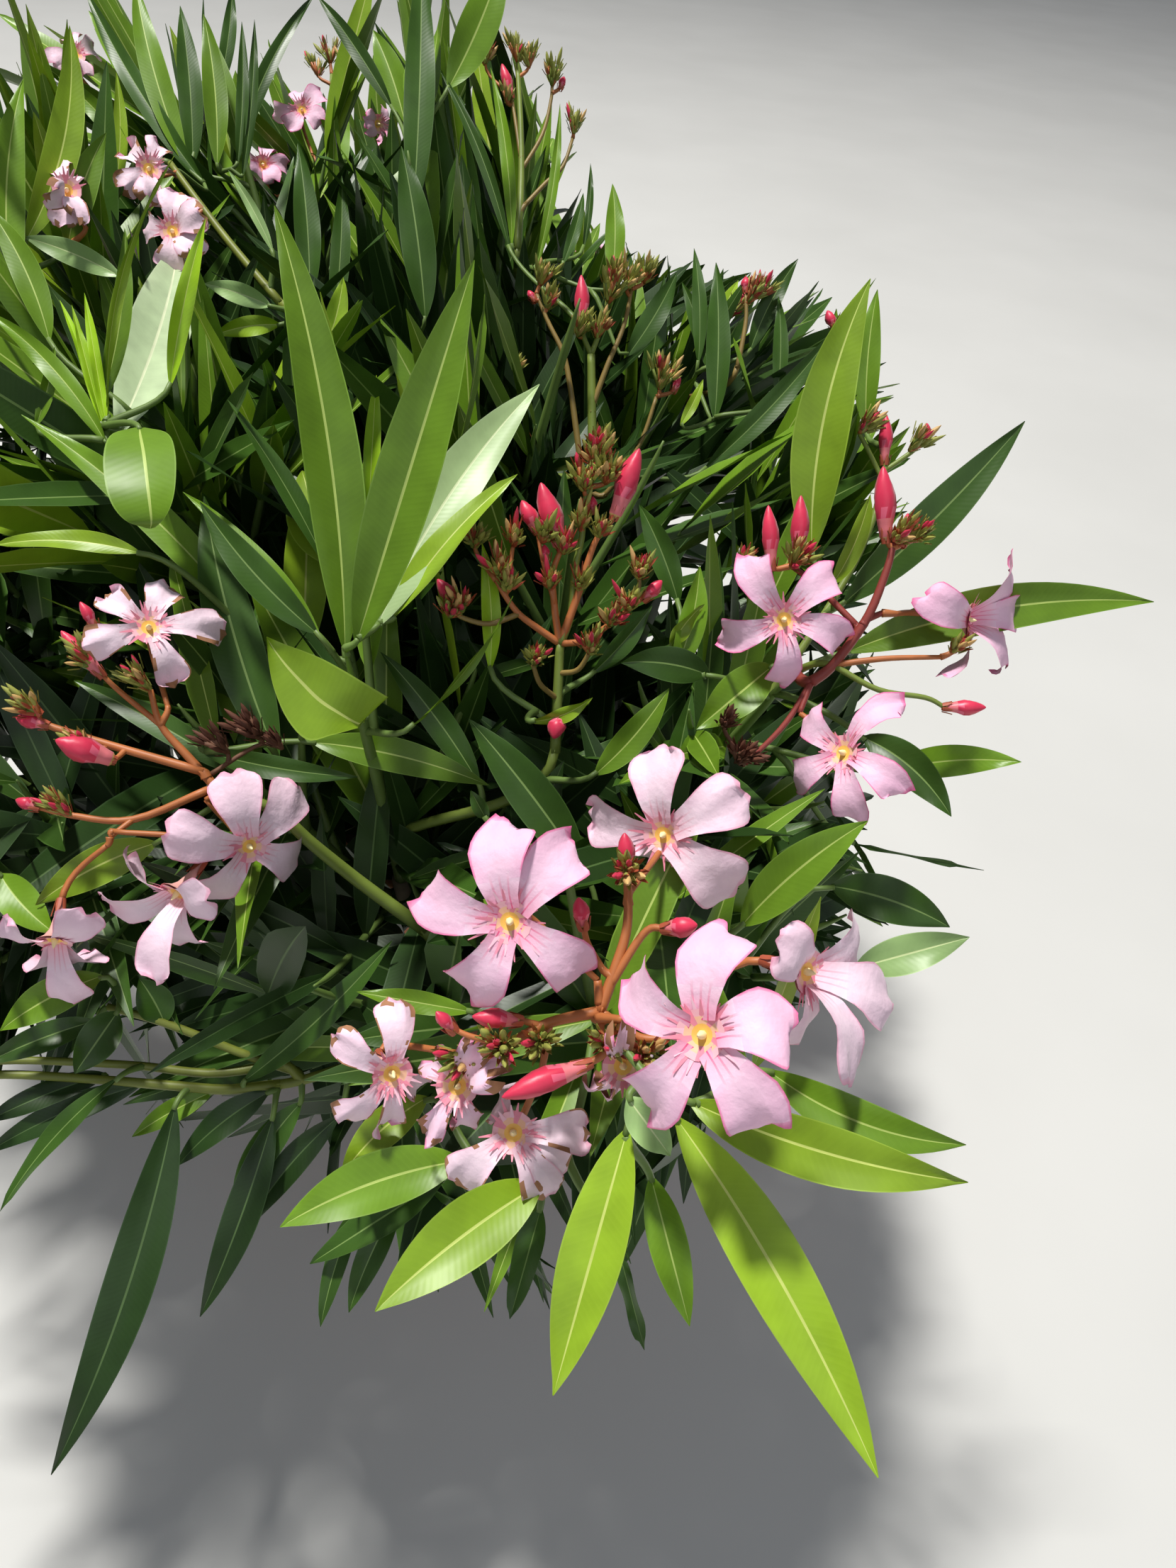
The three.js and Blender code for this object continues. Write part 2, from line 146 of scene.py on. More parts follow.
# Pieces placed by pixel, on the twigs that carry them
# A leaf's last entry is its tone, mostly painted sunlight or painted shade
HERO_LEAVES = [
    ("front_bloom", (953, 1576, 282), (1239, 2085, 255), 19.7, -0.03, 0.03, 0, "sun"),
    ("front_bloom", (885, 1593, 292), (780, 1969, 280), 19.4, 0, 0.05, 8, "sun"),
    ("front_bloom", (763, 1670, 312), (529, 1850, 290), 21.6, 0.03, 0.03, 0, "olive"),
    ("front_low", (653, 1637, 330), (395, 1731, 320), 19.8, 0.05, 0.03, 0, "mid"),
    ("front_low", (603, 1548, 340), (481, 1659, 330), 13.9, 0.06, 0.03, 0, "sun"),
    ("front_bloom", (973, 1554, 290), (1366, 1668, 272), 17.9, 0.04, 0.04, 10, "sun"),
    ("front_bloom", (1084, 1510, 300), (1363, 1615, 290), 14.3, 0.08, 0.03, 0, "mid"),
    ("front_bloom", (885, 1548, 285), (946, 1631, 285), 11.8, 0, 0.03, 0, "pale"),
    ("front_bloom", (918, 1659, 300), (973, 1871, 292), 12.7, 0, 0.03, 0, "mid"),
    ("front_bloom", (874, 1770, 310), (909, 1905, 310), 6.4, 0, 0.03, 30, "deep"),
    ("front_bloom", (763, 1703, 325), (719, 1861, 318), 10.7, 0, 0.03, 20, "deep"),
    ("front_low", (630, 1659, 345), (437, 1783, 345), 14.3, 0, 0.03, 15, "deep"),
    ("front_right", (1206, 1366, 352), (1368, 1322, 345), 14.9, 0, 0.03, 0, "pale"),
    ("front_right", (1172, 1250, 405), (1340, 1308, 398), 19.4, -0.05, 0.04, 0, "deep"),
    ("front_bloom", (1046, 1306, 345), (1224, 1158, 330), 17.5, -0.04, 0.03, 0, "mid"),
    ("right_bloom", (1250, 1089, 420), (1441, 1075, 402), 14.2, -0.05, 0.03, 0, "mid"),
    ("right_bloom", (1217, 1040, 400), (1342, 1152, 385), 16.3, -0.08, 0.04, 0, "deep"),
    ("right_bloom", (1194, 920, 405), (1628, 849, 398), 20.0, -0.06, 0.03, 0, "mid"),
    ("right_back", (1189, 852, 420), (1446, 594, 400), 19.0, 0.02, 0.03, 0, "deep"),
    ("right_bloom", (1145, 780, 430), (1228, 393, 415), 25.0, -0.06, 0.03, 0, "olive"),
    ("right_back", (1222, 605, 455), (1238, 408, 448), 12.4, -0.03, 0.03, 0, "mid"),
    ("right_back", (1248, 592, 460), (1236, 392, 450), 4.6, -0.24, 0.02, 20, "mid"),
    ("right_bloom", (1175, 824, 415), (1228, 697, 405), 9.1, 0.05, 0.03, 20, "sun"),
    ("right_bloom", (1001, 953, 405), (876, 935, 395), 15.2, 0.06, 0.03, 0, "deep"),
    ("right_bloom", (1089, 940, 400), (982, 1029, 392), 19.2, 0, 0.03, 0, "mid"),
    ("front_bloom", (824, 1228, 395), (661, 1014, 392), 19.6, 0.02, 0.03, 0, "deep"),
    ("front_bloom", (686, 1156, 355), (664, 1115, 350), 6.1, 0, 0.03, 0, "deep"),
    ("rosette", (487, 918, 372), (387, 290, 360), 23.0, 0.036, 0.02, 12, "mid"),
    ("rosette", (503, 907, 368), (669, 367, 340), 24.5, 0, 0.02, -8, "mid"),
    ("rosette", (531, 885, 372), (761, 542, 400), 22.7, -0.04, 0.02, -10, "silver"),
    ("rosette", (553, 863, 380), (684, 415, 400), 9.2, 0.05, 0.02, 62, "mid"),
    ("rosette", (553, 874, 375), (730, 669, 380), 12.5, -0.05, 0.02, -30, "sun"),
    ("rosette", (465, 796, 440), (426, 664, 445), 27.5, 0, 0.02, 0, "sun"),
    ("rosette", (520, 719, 400), (531, 529, 400), 7.2, 0, 0.02, 0, "young"),
    ("rosette", (448, 894, 405), (282, 708, 400), 15.3, -0.04, 0.02, 0, "deep"),
    ("rosette", (465, 807, 420), (321, 564, 410), 10.3, 0.03, 0.02, 30, "deep"),
    ("left_mid", (376, 915, 432), (30, 585, 424), 16.5, 0.05, 0.02, 10, "mid"),
    ("rosette", (428, 930, 450), (436, 655, 462), 21.0, 0.0, 0.02, 0, "sun"),
    ("left_bloom", (284, 1059, 412), (505, 1096, 418), 11.0, 0.03, 0.03, 0, "deep"),
    ("rosette", (440, 1047, 414), (690, 1108, 420), 15.5, -0.04, 0.03, 0, "mid"),
    ("rosette", (392, 1072, 420), (288, 700, 426), 23.0, -0.03, 0.02, 0, "deep"),
    ("rosette", (452, 898, 410), (258, 694, 412), 9.0, 0.04, 0.02, 20, "mid"),
    ("rosette", (676, 1106, 432), (537, 920, 428), 14.0, 0.03, 0.02, 0, "deep"),
    ("left_mid", (199, 780, 400), (-11, 769, 395), 9.9, 0.06, 0.02, 30, "sun"),
    ("left_mid", (166, 612, 442), (252, 340, 545), 31.0, 0.02, 0.02, 0, "white"),
    ("far_left", (35, 342, 480), (98, 36, 480), 17.0, 0.07, 0.02, 0, "olive"),
    ("far_left", (22, 442, 480), (33, 111, 480), 18.0, -0.05, 0.02, 0, "mid"),
    ("left_mid", (143, 600, 430), (84, 423, 430), 5.2, 0.03, 0.02, 20, "young"),
    ("left_mid", (145, 600, 430), (101, 430, 430), 5.2, 0, 0.02, 20, "young"),
    ("left_mid", (150, 600, 430), (119, 413, 430), 5.2, 0, 0.02, 10, "young"),
    ("far_left", (184, 215, 562), (82, 108, 556), 11.6, 0.04, 0.02, 0, "mid"),
    ("far_left", (160, 282, 562), (164, 102, 556), 8.7, 0.04, 0.02, 0, "sun"),
    ("far_left", (95, 352, 490), (150, 187, 490), 15.3, -0.04, 0.02, 0, "mid"),
    ("far_left", (170, 390, 480), (33, 334, 480), 12.5, 0.03, 0.02, 0, "pale"),
    ("left_mid", (70, 482, 450), (-18, 290, 450), 14.0, 0.05, 0.02, 0, "mid"),
    ("left_mid", (150, 626, 430), (-20, 438, 430), 10.2, 0.06, 0.02, 0, "mid"),
    ("left_mid", (50, 602, 432), (77, 489, 432), 6.4, 0.03, 0.02, 0, "mid"),
    ("left_mid", (142, 570, 436), (176, 322, 436), 9.5, 0.04, 0.02, 0, "mid"),
    ("left_mid", (152, 590, 431), (246, 220, 424), 5.0, -0.07, 0.02, 40, "sun"),
    ("left_mid", (240, 545, 432), (290, 308, 420), 9.0, -0.02, 0.02, 0, "young"),
    ("left_mid", (385, 355, 535), (322, 240, 530), 6.0, 0.03, 0.02, 0, "pale"),
    ("left_mid", (395, 458, 535), (302, 473, 530), 11.2, 0.05, 0.02, 0, "sun"),
    ("left_mid", (382, 432, 535), (288, 400, 530), 12.0, 0.03, 0.02, 0, "pale"),
    ("rosette", (458, 492, 425), (484, 391, 422), 9.6, 0.04, 0.02, 0, "sun"),
    ("back_left", (290, 262, 600), (118, -20, 600), 13.8, -0.03, 0.02, 0, "deep"),
    ("back_left", (262, 232, 600), (190, -30, 600), 17.0, -0.03, 0.02, 0, "mid"),
    ("back_left", (272, 233, 660), (254, 8, 660), 17.0, 0.02, 0.02, 0, "deep"),
    ("back_left", (306, 233, 640), (287, 20, 640), 16.5, 0.03, 0.02, 0, "mid"),
    ("back_left", (310, 125, 670), (328, -20, 670), 10.5, 0.02, 0.02, 0, "deep"),
    ("back_left", (335, 232, 640), (341, 30, 640), 8.6, 0.02, 0.02, 0, "deep"),
    ("back_left", (342, 250, 642), (359, 27, 640), 7.6, 0.02, 0.02, 0, "deep"),
    ("back_left", (328, 245, 662), (446, -10, 680), 11.5, -0.05, 0.02, 0, "deep"),
    ("top", (553, 152, 590), (446, -8, 590), 10.6, 0.02, 0.02, 0, "deep"),
    ("top", (572, 177, 620), (526, 42, 620), 19.0, 0.03, 0.02, 0, "mid"),
    ("top", (583, 300, 560), (594, -70, 560), 18.3, 0.01, 0.02, 0, "deep"),
    ("top", (632, 125, 560), (712, -70, 555), 23.0, 0.03, 0.02, 0, "mid"),
    ("top", (718, 350, 562), (620, 98, 560), 7.6, 0.04, 0.02, 0, "deep"),
    ("back_mid", (722, 347, 600), (692, 95, 600), 8.6, 0.03, 0.02, 0, "mid"),
    ("top", (600, 450, 562), (566, 206, 556), 20.5, 0.02, 0.02, 0, "deep"),
    ("top", (437, 422, 590), (420, 202, 590), 16.5, 0.02, 0.02, 0, "deep"),
    ("top", (470, 460, 590), (482, 248, 590), 12.4, 0.02, 0.02, 0, "deep"),
    ("back_mid", (756, 378, 610), (790, 146, 610), 6.8, 0.03, 0.02, 0, "mid"),
    ("back_mid", (823, 350, 630), (833, 230, 630), 5.0, 0.03, 0.02, 0, "deep"),
    ("back_mid", (863, 400, 600), (864, 259, 600), 13.0, 0.03, 0.02, 0, "mid"),
    ("back_mid", (794, 372, 600), (823, 272, 600), 7.8, 0.03, 0.02, 0, "deep"),
    ("back_right", (985, 512, 610), (979, 350, 610), 9.8, 0.03, 0.02, 0, "deep"),
    ("back_right", (1008, 593, 600), (1010, 370, 600), 16.0, 0.02, 0.02, 0, "deep"),
    ("back_right", (1058, 495, 605), (1126, 365, 605), 13.0, -0.04, 0.02, 0, "deep"),
    ("back_right", (1096, 562, 600), (1098, 418, 600), 10.2, 0.03, 0.02, 0, "deep"),
    ("right_back", (994, 662, 560), (1176, 468, 555), 14.4, 0.03, 0.02, 0, "deep"),
    ("back_right", (885, 502, 600), (955, 384, 600), 15.0, 0.03, 0.02, 0, "deep"),
    ("back_right", (1000, 522, 612), (962, 398, 612), 10.8, 0.03, 0.02, 0, "deep"),
    ("back_right", (960, 600, 590), (992, 535, 590), 7.0, 0.03, 0.02, 0, "sun"),
    ("left_low", (247, 1560, 420), (72, 2081, 400), 21.5, -0.035, 0.05, 0, "shade"),
    ("left_low", (385, 1576, 430), (282, 1858, 425), 16.5, -0.02, 0.05, 0, "shade"),
    ("left_low", (343, 1526, 430), (553, 1327, 428), 13.0, 0.03, 0.03, 0, "deep"),
    ("left_low", (144, 1377, 405), (0, 1454, 400), 16.7, 0.05, 0.03, 0, "mid"),
    ("left_low", (166, 1427, 410), (105, 1515, 400), 16.8, 0, 0.03, 0, "deep"),
    ("left_front", (221, 1189, 410), (50, 1277, 400), 16.8, 0.05, 0.03, 0, "olive"),
    ("left_front", (0, 1233, 405), (77, 1316, 400), 16.7, 0.05, 0.03, 0, "mid"),
    ("left_low", (166, 1521, 415), (0, 1709, 410), 10.3, 0.05, 0.03, 30, "deep"),
    ("front_low", (664, 1427, 350), (503, 1399, 345), 8.6, 0, 0.03, 10, "mid"),
    ("right_bloom", (1200, 1189, 450), (1388, 1228, 440), 3.7, 0, 0.03, 50, "deep"),
    ("left_low", (380, 1540, 432), (250, 1645, 428), 14.0, 0.05, 0.05, 10, "shade"),
    ("left_low", (425, 1555, 436), (328, 1705, 432), 15.0, 0.05, 0.05, 0, "deep"),
    ("left_low", (478, 1575, 440), (345, 1738, 436), 14.0, 0.05, 0.05, 0, "shade"),
    ("front_low", (505, 1700, 352), (452, 1872, 347), 8.5, 0.03, 0.04, 10, "deep"),
    ("front_low", (565, 1690, 354), (492, 1852, 350), 11.0, 0.03, 0.04, 0, "deep"),
    ("left_low", (200, 1530, 425), (-24, 1630, 414), 13.0, 0.04, 0.04, 0, "shade"),
    ("left_low", (150, 1515, 424), (-24, 1585, 412), 12.0, 0.03, 0.04, 15, "shade"),
    ("left_low", (300, 1540, 430), (186, 1604, 424), 11.0, 0.03, 0.03, 0, "mid"),
    ("left_front", (135, 1440, 418), (-24, 1502, 405), 13.0, 0.03, 0.04, 0, "deep"),
    ("left_low", (232, 1443, 426), (196, 1380, 420), 16.0, 0.03, 0.03, 0, "deep"),
    ("bud_mid", (691, 945, 408), (680, 766, 404), 8.6, 0.04, 0.02, 0, "young"),
    ("bud_mid", (580, 1026, 384), (724, 841, 380), 4.2, 0.05, 0.02, 55, "mid"),
    ("bud_mid", (750, 1018, 396), (836, 984, 390), 6.4, 0.08, 0.02, 20, "sun"),
    ("bud_mid", (839, 1093, 405), (944, 971, 400), 13.0, 0.04, 0.02, 0, "mid"),
    ("bud_mid", (950, 952, 414), (987, 798, 410), 12.5, 0.05, 0.02, 10, "mid"),
    ("bud_mid", (944, 917, 412), (994, 852, 408), 7.5, -0.05, 0.02, 30, "sun"),
    ("bud_mid", (957, 850, 436), (902, 712, 432), 13.0, 0.03, 0.02, 0, "deep"),
    ("bud_mid", (836, 950, 418), (920, 854, 414), 9.5, 0.03, 0.02, 20, "deep"),
]
# Knots of dried flowers, with their count and spread
DRY_KNOTS = [
    ("left_bloom", (322, 1062, 399), 5, 9),
    ("left_bloom", (368, 1042, 400), 6, 10),
    ("left_bloom", (398, 1056, 402), 4, 7),
    ("right_bloom", (1020, 1024, 394), 4, 6),
    ("right_bloom", (1040, 1075, 393), 6, 9),
]
# Leaves that are folded or seen end on: their left edge, midrib and right edge from root to tip,
# with the depth of each row
# A leaf's tone, its second entry, is painted light: olive is painted sunlight, mid painted half shade
SHAPED_LEAVES = [
    ("rosette", "olive", [
        (372, (515, 1010), (516, 1012), (517, 1014)), (362, (535, 990), (518, 1010), (511, 1020)),
        (336, (547, 984), (510, 1018), (506, 1027)), (331, (543, 981), (503, 1021), (501, 1028)),
        (327, (515, 964), (476, 1005), (468, 1037)), (325, (487, 947), (450, 987), (434, 1044)),
        (324, (458, 931), (426, 963), (406, 1016)), (323, (430, 919), (404, 939), (387, 973)),
        (322, (402, 909), (388, 918), (379, 935)), (321, (376, 898), (376, 899), (376, 901)),
    ]),
    ("left_mid", "mid", [
        (400, (190, 603), (197, 604), (204, 603)), (394, (157, 613), (198, 614), (236, 611)),
        (386, (146, 640), (203, 640), (247, 636)), (380, (148, 680), (208, 680), (248, 676)),
        (378, (158, 712), (212, 713), (243, 708)), (379, (178, 735), (214, 736), (232, 731)),
        (382, (206, 745), (212, 746), (219, 744)),
    ]),
]
HERO_FLOWERS = [
    ("front_bloom", (719, 1300, 290), 54, -90, (843, 1383, 301), "open", 1,
     [(575, 1272), (664, 1427), (846, 1371), (807, 1167), (691, 1145)]),
    ("front_bloom", (990, 1460, 250), 50, -125, (874, 1438, 292), "open", 1,
     [(863, 1383), (1006, 1288), (1128, 1427), (1112, 1593), (907, 1593)]),
    ("front_bloom", (1139, 1371, 290), 60, -40, (940, 1460, 300), "round", 0.9,
     [(1217, 1316), (1264, 1416), (1217, 1521), (1117, 1471), (1106, 1333)]),
    ("front_bloom", (935, 1178, 336), 62, -110, (887, 1261, 312), "round", 0.95,
     [(824, 1150), (929, 1051), (1051, 1117), (1040, 1261), (927, 1214)]),
    ("right_bloom", (1106, 874, 381), 60, -90, (1189, 918, 392), "open", 0.82,
     [(1040, 780), (1178, 791), (1206, 896), (1112, 979), (1006, 912)]),
    ("right_bloom", (1366, 874, 390), 78, -22, (1262, 866, 388), "open", 0.85,
     [(1300, 852), (1443, 780), (1454, 852), (1427, 940), (1338, 962)]),
    ("right_bloom", (1189, 1062, 370), 56, -145, (1128, 1006, 390), "open", 0.72,
     [(1128, 1006), (1272, 973), (1288, 1112), (1217, 1167), (1112, 1117)]),
    ("left_bloom", (210, 885, 387), 40, -60, (238, 1001, 395), "old", 0.78,
     [(144, 835), (238, 824), (321, 885), (249, 968), (116, 912)]),
    ("left_bloom", (352, 1194, 390), 72, -50, (290, 1128, 398), "round", 0.98,
     [(232, 1172), (326, 1089), (420, 1106), (426, 1217), (276, 1272)]),
    ("left_bloom", (249, 1261, 380), 100, -110, (155, 1172, 390), "round", 0.85,
     [(177, 1206), (144, 1283), (210, 1383), (260, 1338), (290, 1272)]),
    ("left_bloom", (77, 1327, 380), 110, -80, (155, 1189, 390), "round", 0.85,
     [(0, 1305), (66, 1371), (105, 1419), (127, 1360), (122, 1288)]),
    ("front_bloom", (553, 1515, 320), 60, -60, (664, 1488, 316), "old", 0.7,
     [(559, 1410), (470, 1460), (476, 1582), (542, 1598), (603, 1532)]),
    ("front_bloom", (645, 1532, 312), 40, -90, (708, 1493, 312), "spent", 0.7,
     [(603, 1488), (675, 1471), (702, 1515), (664, 1593), (597, 1609)]),
    ("front_bloom", (724, 1598, 310), 30, -90, (763, 1515, 308), "old", 0.85,
     [(708, 1548), (636, 1670), (774, 1692), (837, 1598), (796, 1659)]),
    ("front_bloom", (879, 1504, 300), 50, -80, (857, 1471, 302), "spent", 0.6,
     [(835, 1532), (874, 1460), (912, 1482), (918, 1548), (863, 1532)]),
    ("back_left", (210, 238, 532), 60, -60, (250, 243, 554), "old", 0.85,
     [(177, 210), (227, 199), (238, 238), (210, 282), (171, 265)]),
    ("back_left", (243, 326, 524), 60, -80, (282, 300, 548), "old", 0.95,
     [(205, 321), (249, 265), (282, 299), (276, 354), (238, 382)]),
    ("back_left", (105, 77, 640), 60, -60, (144, 144, 650), "round", 0.8,
     [(77, 88), (100, 50), (138, 66), (116, 94), (94, 105)]),
    ("far_left", (94, 268, 478), 60, -60, (122, 322, 486), "old", 0.7,
     [(86, 236), (113, 258), (110, 300), (87, 314), (76, 272)]),
    ("back", (426, 155, 760), 60, -70, (442, 221, 765), "open", 0.9,
     [(382, 166), (415, 127), (453, 122), (459, 166), (409, 186)]),
    ("back", (371, 232, 760), 70, -70, (382, 276, 765), "open", 0.8,
     [(337, 221), (376, 205), (409, 227), (393, 252), (354, 249)]),
    ("back", (533, 175, 760), 80, -40, (531, 221, 765), "open", 0.7,
     [(514, 166), (542, 149), (550, 177), (536, 199), (520, 188)]),
]
STALKS = [
    ("front_bloom", 1.7, 1.1, "red",
     [(846, 1427, 301), (868, 1366, 303), (885, 1305, 305), (885, 1230, 308)]),
    ("front_bloom", 1.3, 0.9, "red",
     [(857, 1396, 302), (909, 1316, 303), (940, 1310, 301)]),
    ("front_bloom", 1, 0.8, "red",
     [(852, 1371, 303), (830, 1333, 302), (823, 1307, 300)]),
    ("front_bloom", 1.6, 1, "red",
     [(846, 1427, 301), (774, 1443, 302), (719, 1471, 301), (677, 1484, 300)]),
    ("front_bloom", 1, 0.8, "red",
     [(763, 1447, 302), (730, 1438, 300)]),
    ("front_bloom", 0.9, 0.7, "red",
     [(708, 1473, 301), (664, 1462, 300), (639, 1451, 300)]),
    ("front_bloom", 1.3, 1, "red",
     [(849, 1438, 300), (854, 1482, 298), (827, 1502, 297)]),
    ("front_bloom", 1.4, 1, "red",
     [(846, 1427, 301), (898, 1462, 301), (940, 1465, 300)]),
    ("front_bloom", 1.4, 1.1, "red",
     [(846, 1416, 301), (843, 1383, 301)]),
    ("front_bloom", 1.1, 0.9, "red",
     [(774, 1458, 306), (763, 1517, 308)]),
    ("front_bloom", 1, 0.8, "red",
     [(724, 1471, 303), (708, 1493, 312)]),
    ("front_bloom", 0.9, 0.8, "red",
     [(708, 1493, 312), (664, 1488, 316)]),
    ("right_bloom", 2, 1.1, "dark",
     [(1145, 962, 392), (1175, 938, 390), (1222, 874, 386), (1250, 807, 384), (1261, 765, 384)]),
    ("right_bloom", 1.2, 0.8, "red",
     [(1175, 938, 390), (1250, 929, 388), (1327, 927, 388)]),
    ("right_bloom", 1.1, 0.8, "green",
     [(1175, 938, 390), (1239, 973, 388), (1305, 984, 388), (1333, 998, 388)]),
    ("right_bloom", 1.2, 1, "dark",
     [(1222, 874, 386), (1244, 865, 388)]),
    ("right_bloom", 1.2, 0.9, "dark",
     [(1211, 885, 388), (1150, 824, 392), (1117, 799, 392)]),
    ("right_bloom", 1.2, 0.9, "dark",
     [(1145, 962, 392), (1106, 1023, 392), (1051, 1078, 394)]),
    ("right_bloom", 1.1, 0.9, "dark",
     [(1145, 962, 392), (1128, 1006, 390)]),
    ("right_bloom", 1.1, 0.9, "dark",
     [(1175, 938, 390), (1189, 918, 392)]),
    ("right_back", 1.3, 0.9, "green",
     [(1239, 708, 430), (1250, 653, 430), (1248, 625, 430)]),
    ("right_back", 1, 0.8, "green",
     [(1248, 664, 430), (1288, 636, 430), (1305, 617, 430)]),
    ("right_back", 1, 0.8, "green",
     [(1244, 675, 430), (1222, 630, 430), (1212, 611, 430)]),
    ("left_bloom", 1.8, 1, "red",
     [(310, 1117, 398), (265, 1067, 397), (227, 1023, 395), (212, 973, 392)]),
    ("left_bloom", 1.6, 1, "red",
     [(288, 1089, 397), (155, 1051, 395), (66, 1023, 393), (33, 1012, 392)]),
    ("left_bloom", 1.5, 0.9, "red",
     [(299, 1112, 398), (188, 1156, 395), (100, 1150, 392), (55, 1139, 390)]),
    ("left_bloom", 1.1, 0.9, "red",
     [(188, 1156, 395), (155, 1181, 390)]),
    ("left_bloom", 1.1, 0.8, "red",
     [(227, 1023, 395), (166, 973, 393), (133, 940, 392)]),
    ("left_bloom", 1.1, 0.9, "red",
     [(155, 1051, 395), (138, 1058, 394)]),
    ("left_bloom", 1.2, 1, "red",
     [(310, 1117, 398), (290, 1128, 398)]),
    ("left_bloom", 0.9, 0.6, "brown",
     [(293, 1095, 398), (365, 1051, 402), (398, 1056, 402)]),
    ("bud_mid", 2.0, 1.6, "green",
     [(783, 1062, 414), (787, 975, 411), (790, 908, 408)]),
    ("bud_mid", 1.5, 1.0, "red",
     [(790, 908, 408), (783, 863, 406), (780, 810, 403), (791, 776, 402)]),
    ("bud_mid", 1.6, 0.9, "red",
     [(790, 908, 408), (817, 834, 405), (828, 797, 404), (842, 760, 402), (865, 733, 400)]),
    ("bud_mid", 1.3, 0.8, "green",
     [(805, 870, 407), (811, 804, 405), (821, 757, 404), (824, 712, 403), (838, 664, 401), (843, 634, 400)]),
    ("bud_mid", 1.4, 0.9, "red",
     [(790, 908, 408), (758, 886, 405), (732, 866, 402), (713, 841, 400), (700, 819, 399)]),
    ("bud_mid", 1.0, 0.7, "red",
     [(713, 841, 400), (719, 804, 400), (724, 767, 400)]),
    ("bud_mid", 1.0, 0.7, "red",
     [(783, 852, 405), (768, 800, 402), (758, 752, 400)]),
    ("bud_mid", 1.1, 0.7, "olive",
     [(732, 866, 402), (690, 880, 400), (652, 871, 399), (635, 858, 398)]),
    ("bud_mid", 1.3, 0.8, "red",
     [(790, 908, 408), (824, 904, 404), (854, 885, 401), (883, 863, 398), (905, 845, 396)]),
    ("bud_mid", 0.9, 0.7, "olive",
     [(883, 863, 398), (900, 835, 397), (902, 812, 396)]),
    ("bud_mid", 1.1, 0.8, "olive",
     [(788, 950, 410), (815, 945, 405), (832, 920, 401)]),
    ("bud_mid", 1.1, 0.8, "olive",
     [(785, 985, 411), (762, 965, 405), (752, 938, 401)]),
    ("bud_mid", 1.0, 0.7, "olive",
     [(784, 1030, 413), (794, 1018, 402), (790, 1008, 396)]),
    ("bud_back", 2.4, 1.9, "green",
     [(836, 660, 552), (835, 575, 548), (834, 500, 545)]),
    ("bud_back", 1.4, 1.0, "green",
     [(834, 500, 545), (824, 478, 545), (821, 464, 545)]),
    ("bud_back", 1.4, 1.0, "green",
     [(834, 500, 545), (848, 462, 545), (858, 420, 545)]),
    ("bud_back", 1.7, 1.0, "olive",
     [(824, 690, 556), (812, 600, 550), (805, 550, 547), (795, 500, 545), (774, 456, 545), (757, 415, 545)]),
    ("bud_back", 1.5, 0.9, "olive",
     [(835, 575, 548), (857, 515, 545), (880, 460, 545), (891, 408, 545)]),
    ("bud_back", 1.4, 0.9, "olive",
     [(852, 700, 556), (876, 671, 552), (906, 619, 548), (926, 560, 545)]),
    ("left_bloom", 2.7, 1.9, "green",
     [(600, 1312, 440), (510, 1246, 430), (440, 1190, 415), (385, 1142, 404), (310, 1117, 398)]),
    ("left_low", 2.1, 1.5, "twig",
     [(395, 1530, 436), (320, 1537, 430), (248, 1532, 426), (152, 1524, 422), (20, 1516, 415),
      (-60, 1520, 412)]),
    ("left_low", 1.9, 1.3, "twig",
     [(400, 1500, 436), (300, 1514, 432), (190, 1503, 426), (40, 1496, 415), (-50, 1500, 410)]),
    ("left_low", 1.9, 1.4, "twig",
     [(420, 1512, 440), (352, 1490, 434), (232, 1443, 426), (150, 1420, 420)]),
    ("back_mid", 2.2, 1.4, "green",
     [(730, 352, 625), (735, 269, 632), (735, 189, 636), (730, 90, 640)]),
    ("back_mid", 1.2, 0.9, "olive",
     [(735, 225, 634), (727, 170, 638), (722, 138, 640)]),
    ("back_mid", 1.2, 0.9, "olive",
     [(736, 240, 634), (765, 190, 638), (777, 143, 640), (779, 120, 640)]),
    ("back_mid", 1.3, 0.9, "olive",
     [(740, 290, 630), (770, 258, 634), (794, 235, 636), (808, 195, 640)]),
    ("back", 1.6, 1.1, "green",
     [(462, 300, 710), (465, 190, 712), (468, 105, 714)]),
    ("back_left", 2.1, 1.5, "twig",
     [(396, 428, 540), (330, 350, 545), (280, 285, 550), (240, 230, 556)]),
    ("back_right", 1.4, 0.9, "olive",
     [(1040, 520, 600), (1052, 455, 600), (1052, 415, 600)]),
    ("right_back", 1.2, 0.8, "olive",
     [(1160, 540, 560), (1172, 500, 558), (1176, 466, 556)]),
]
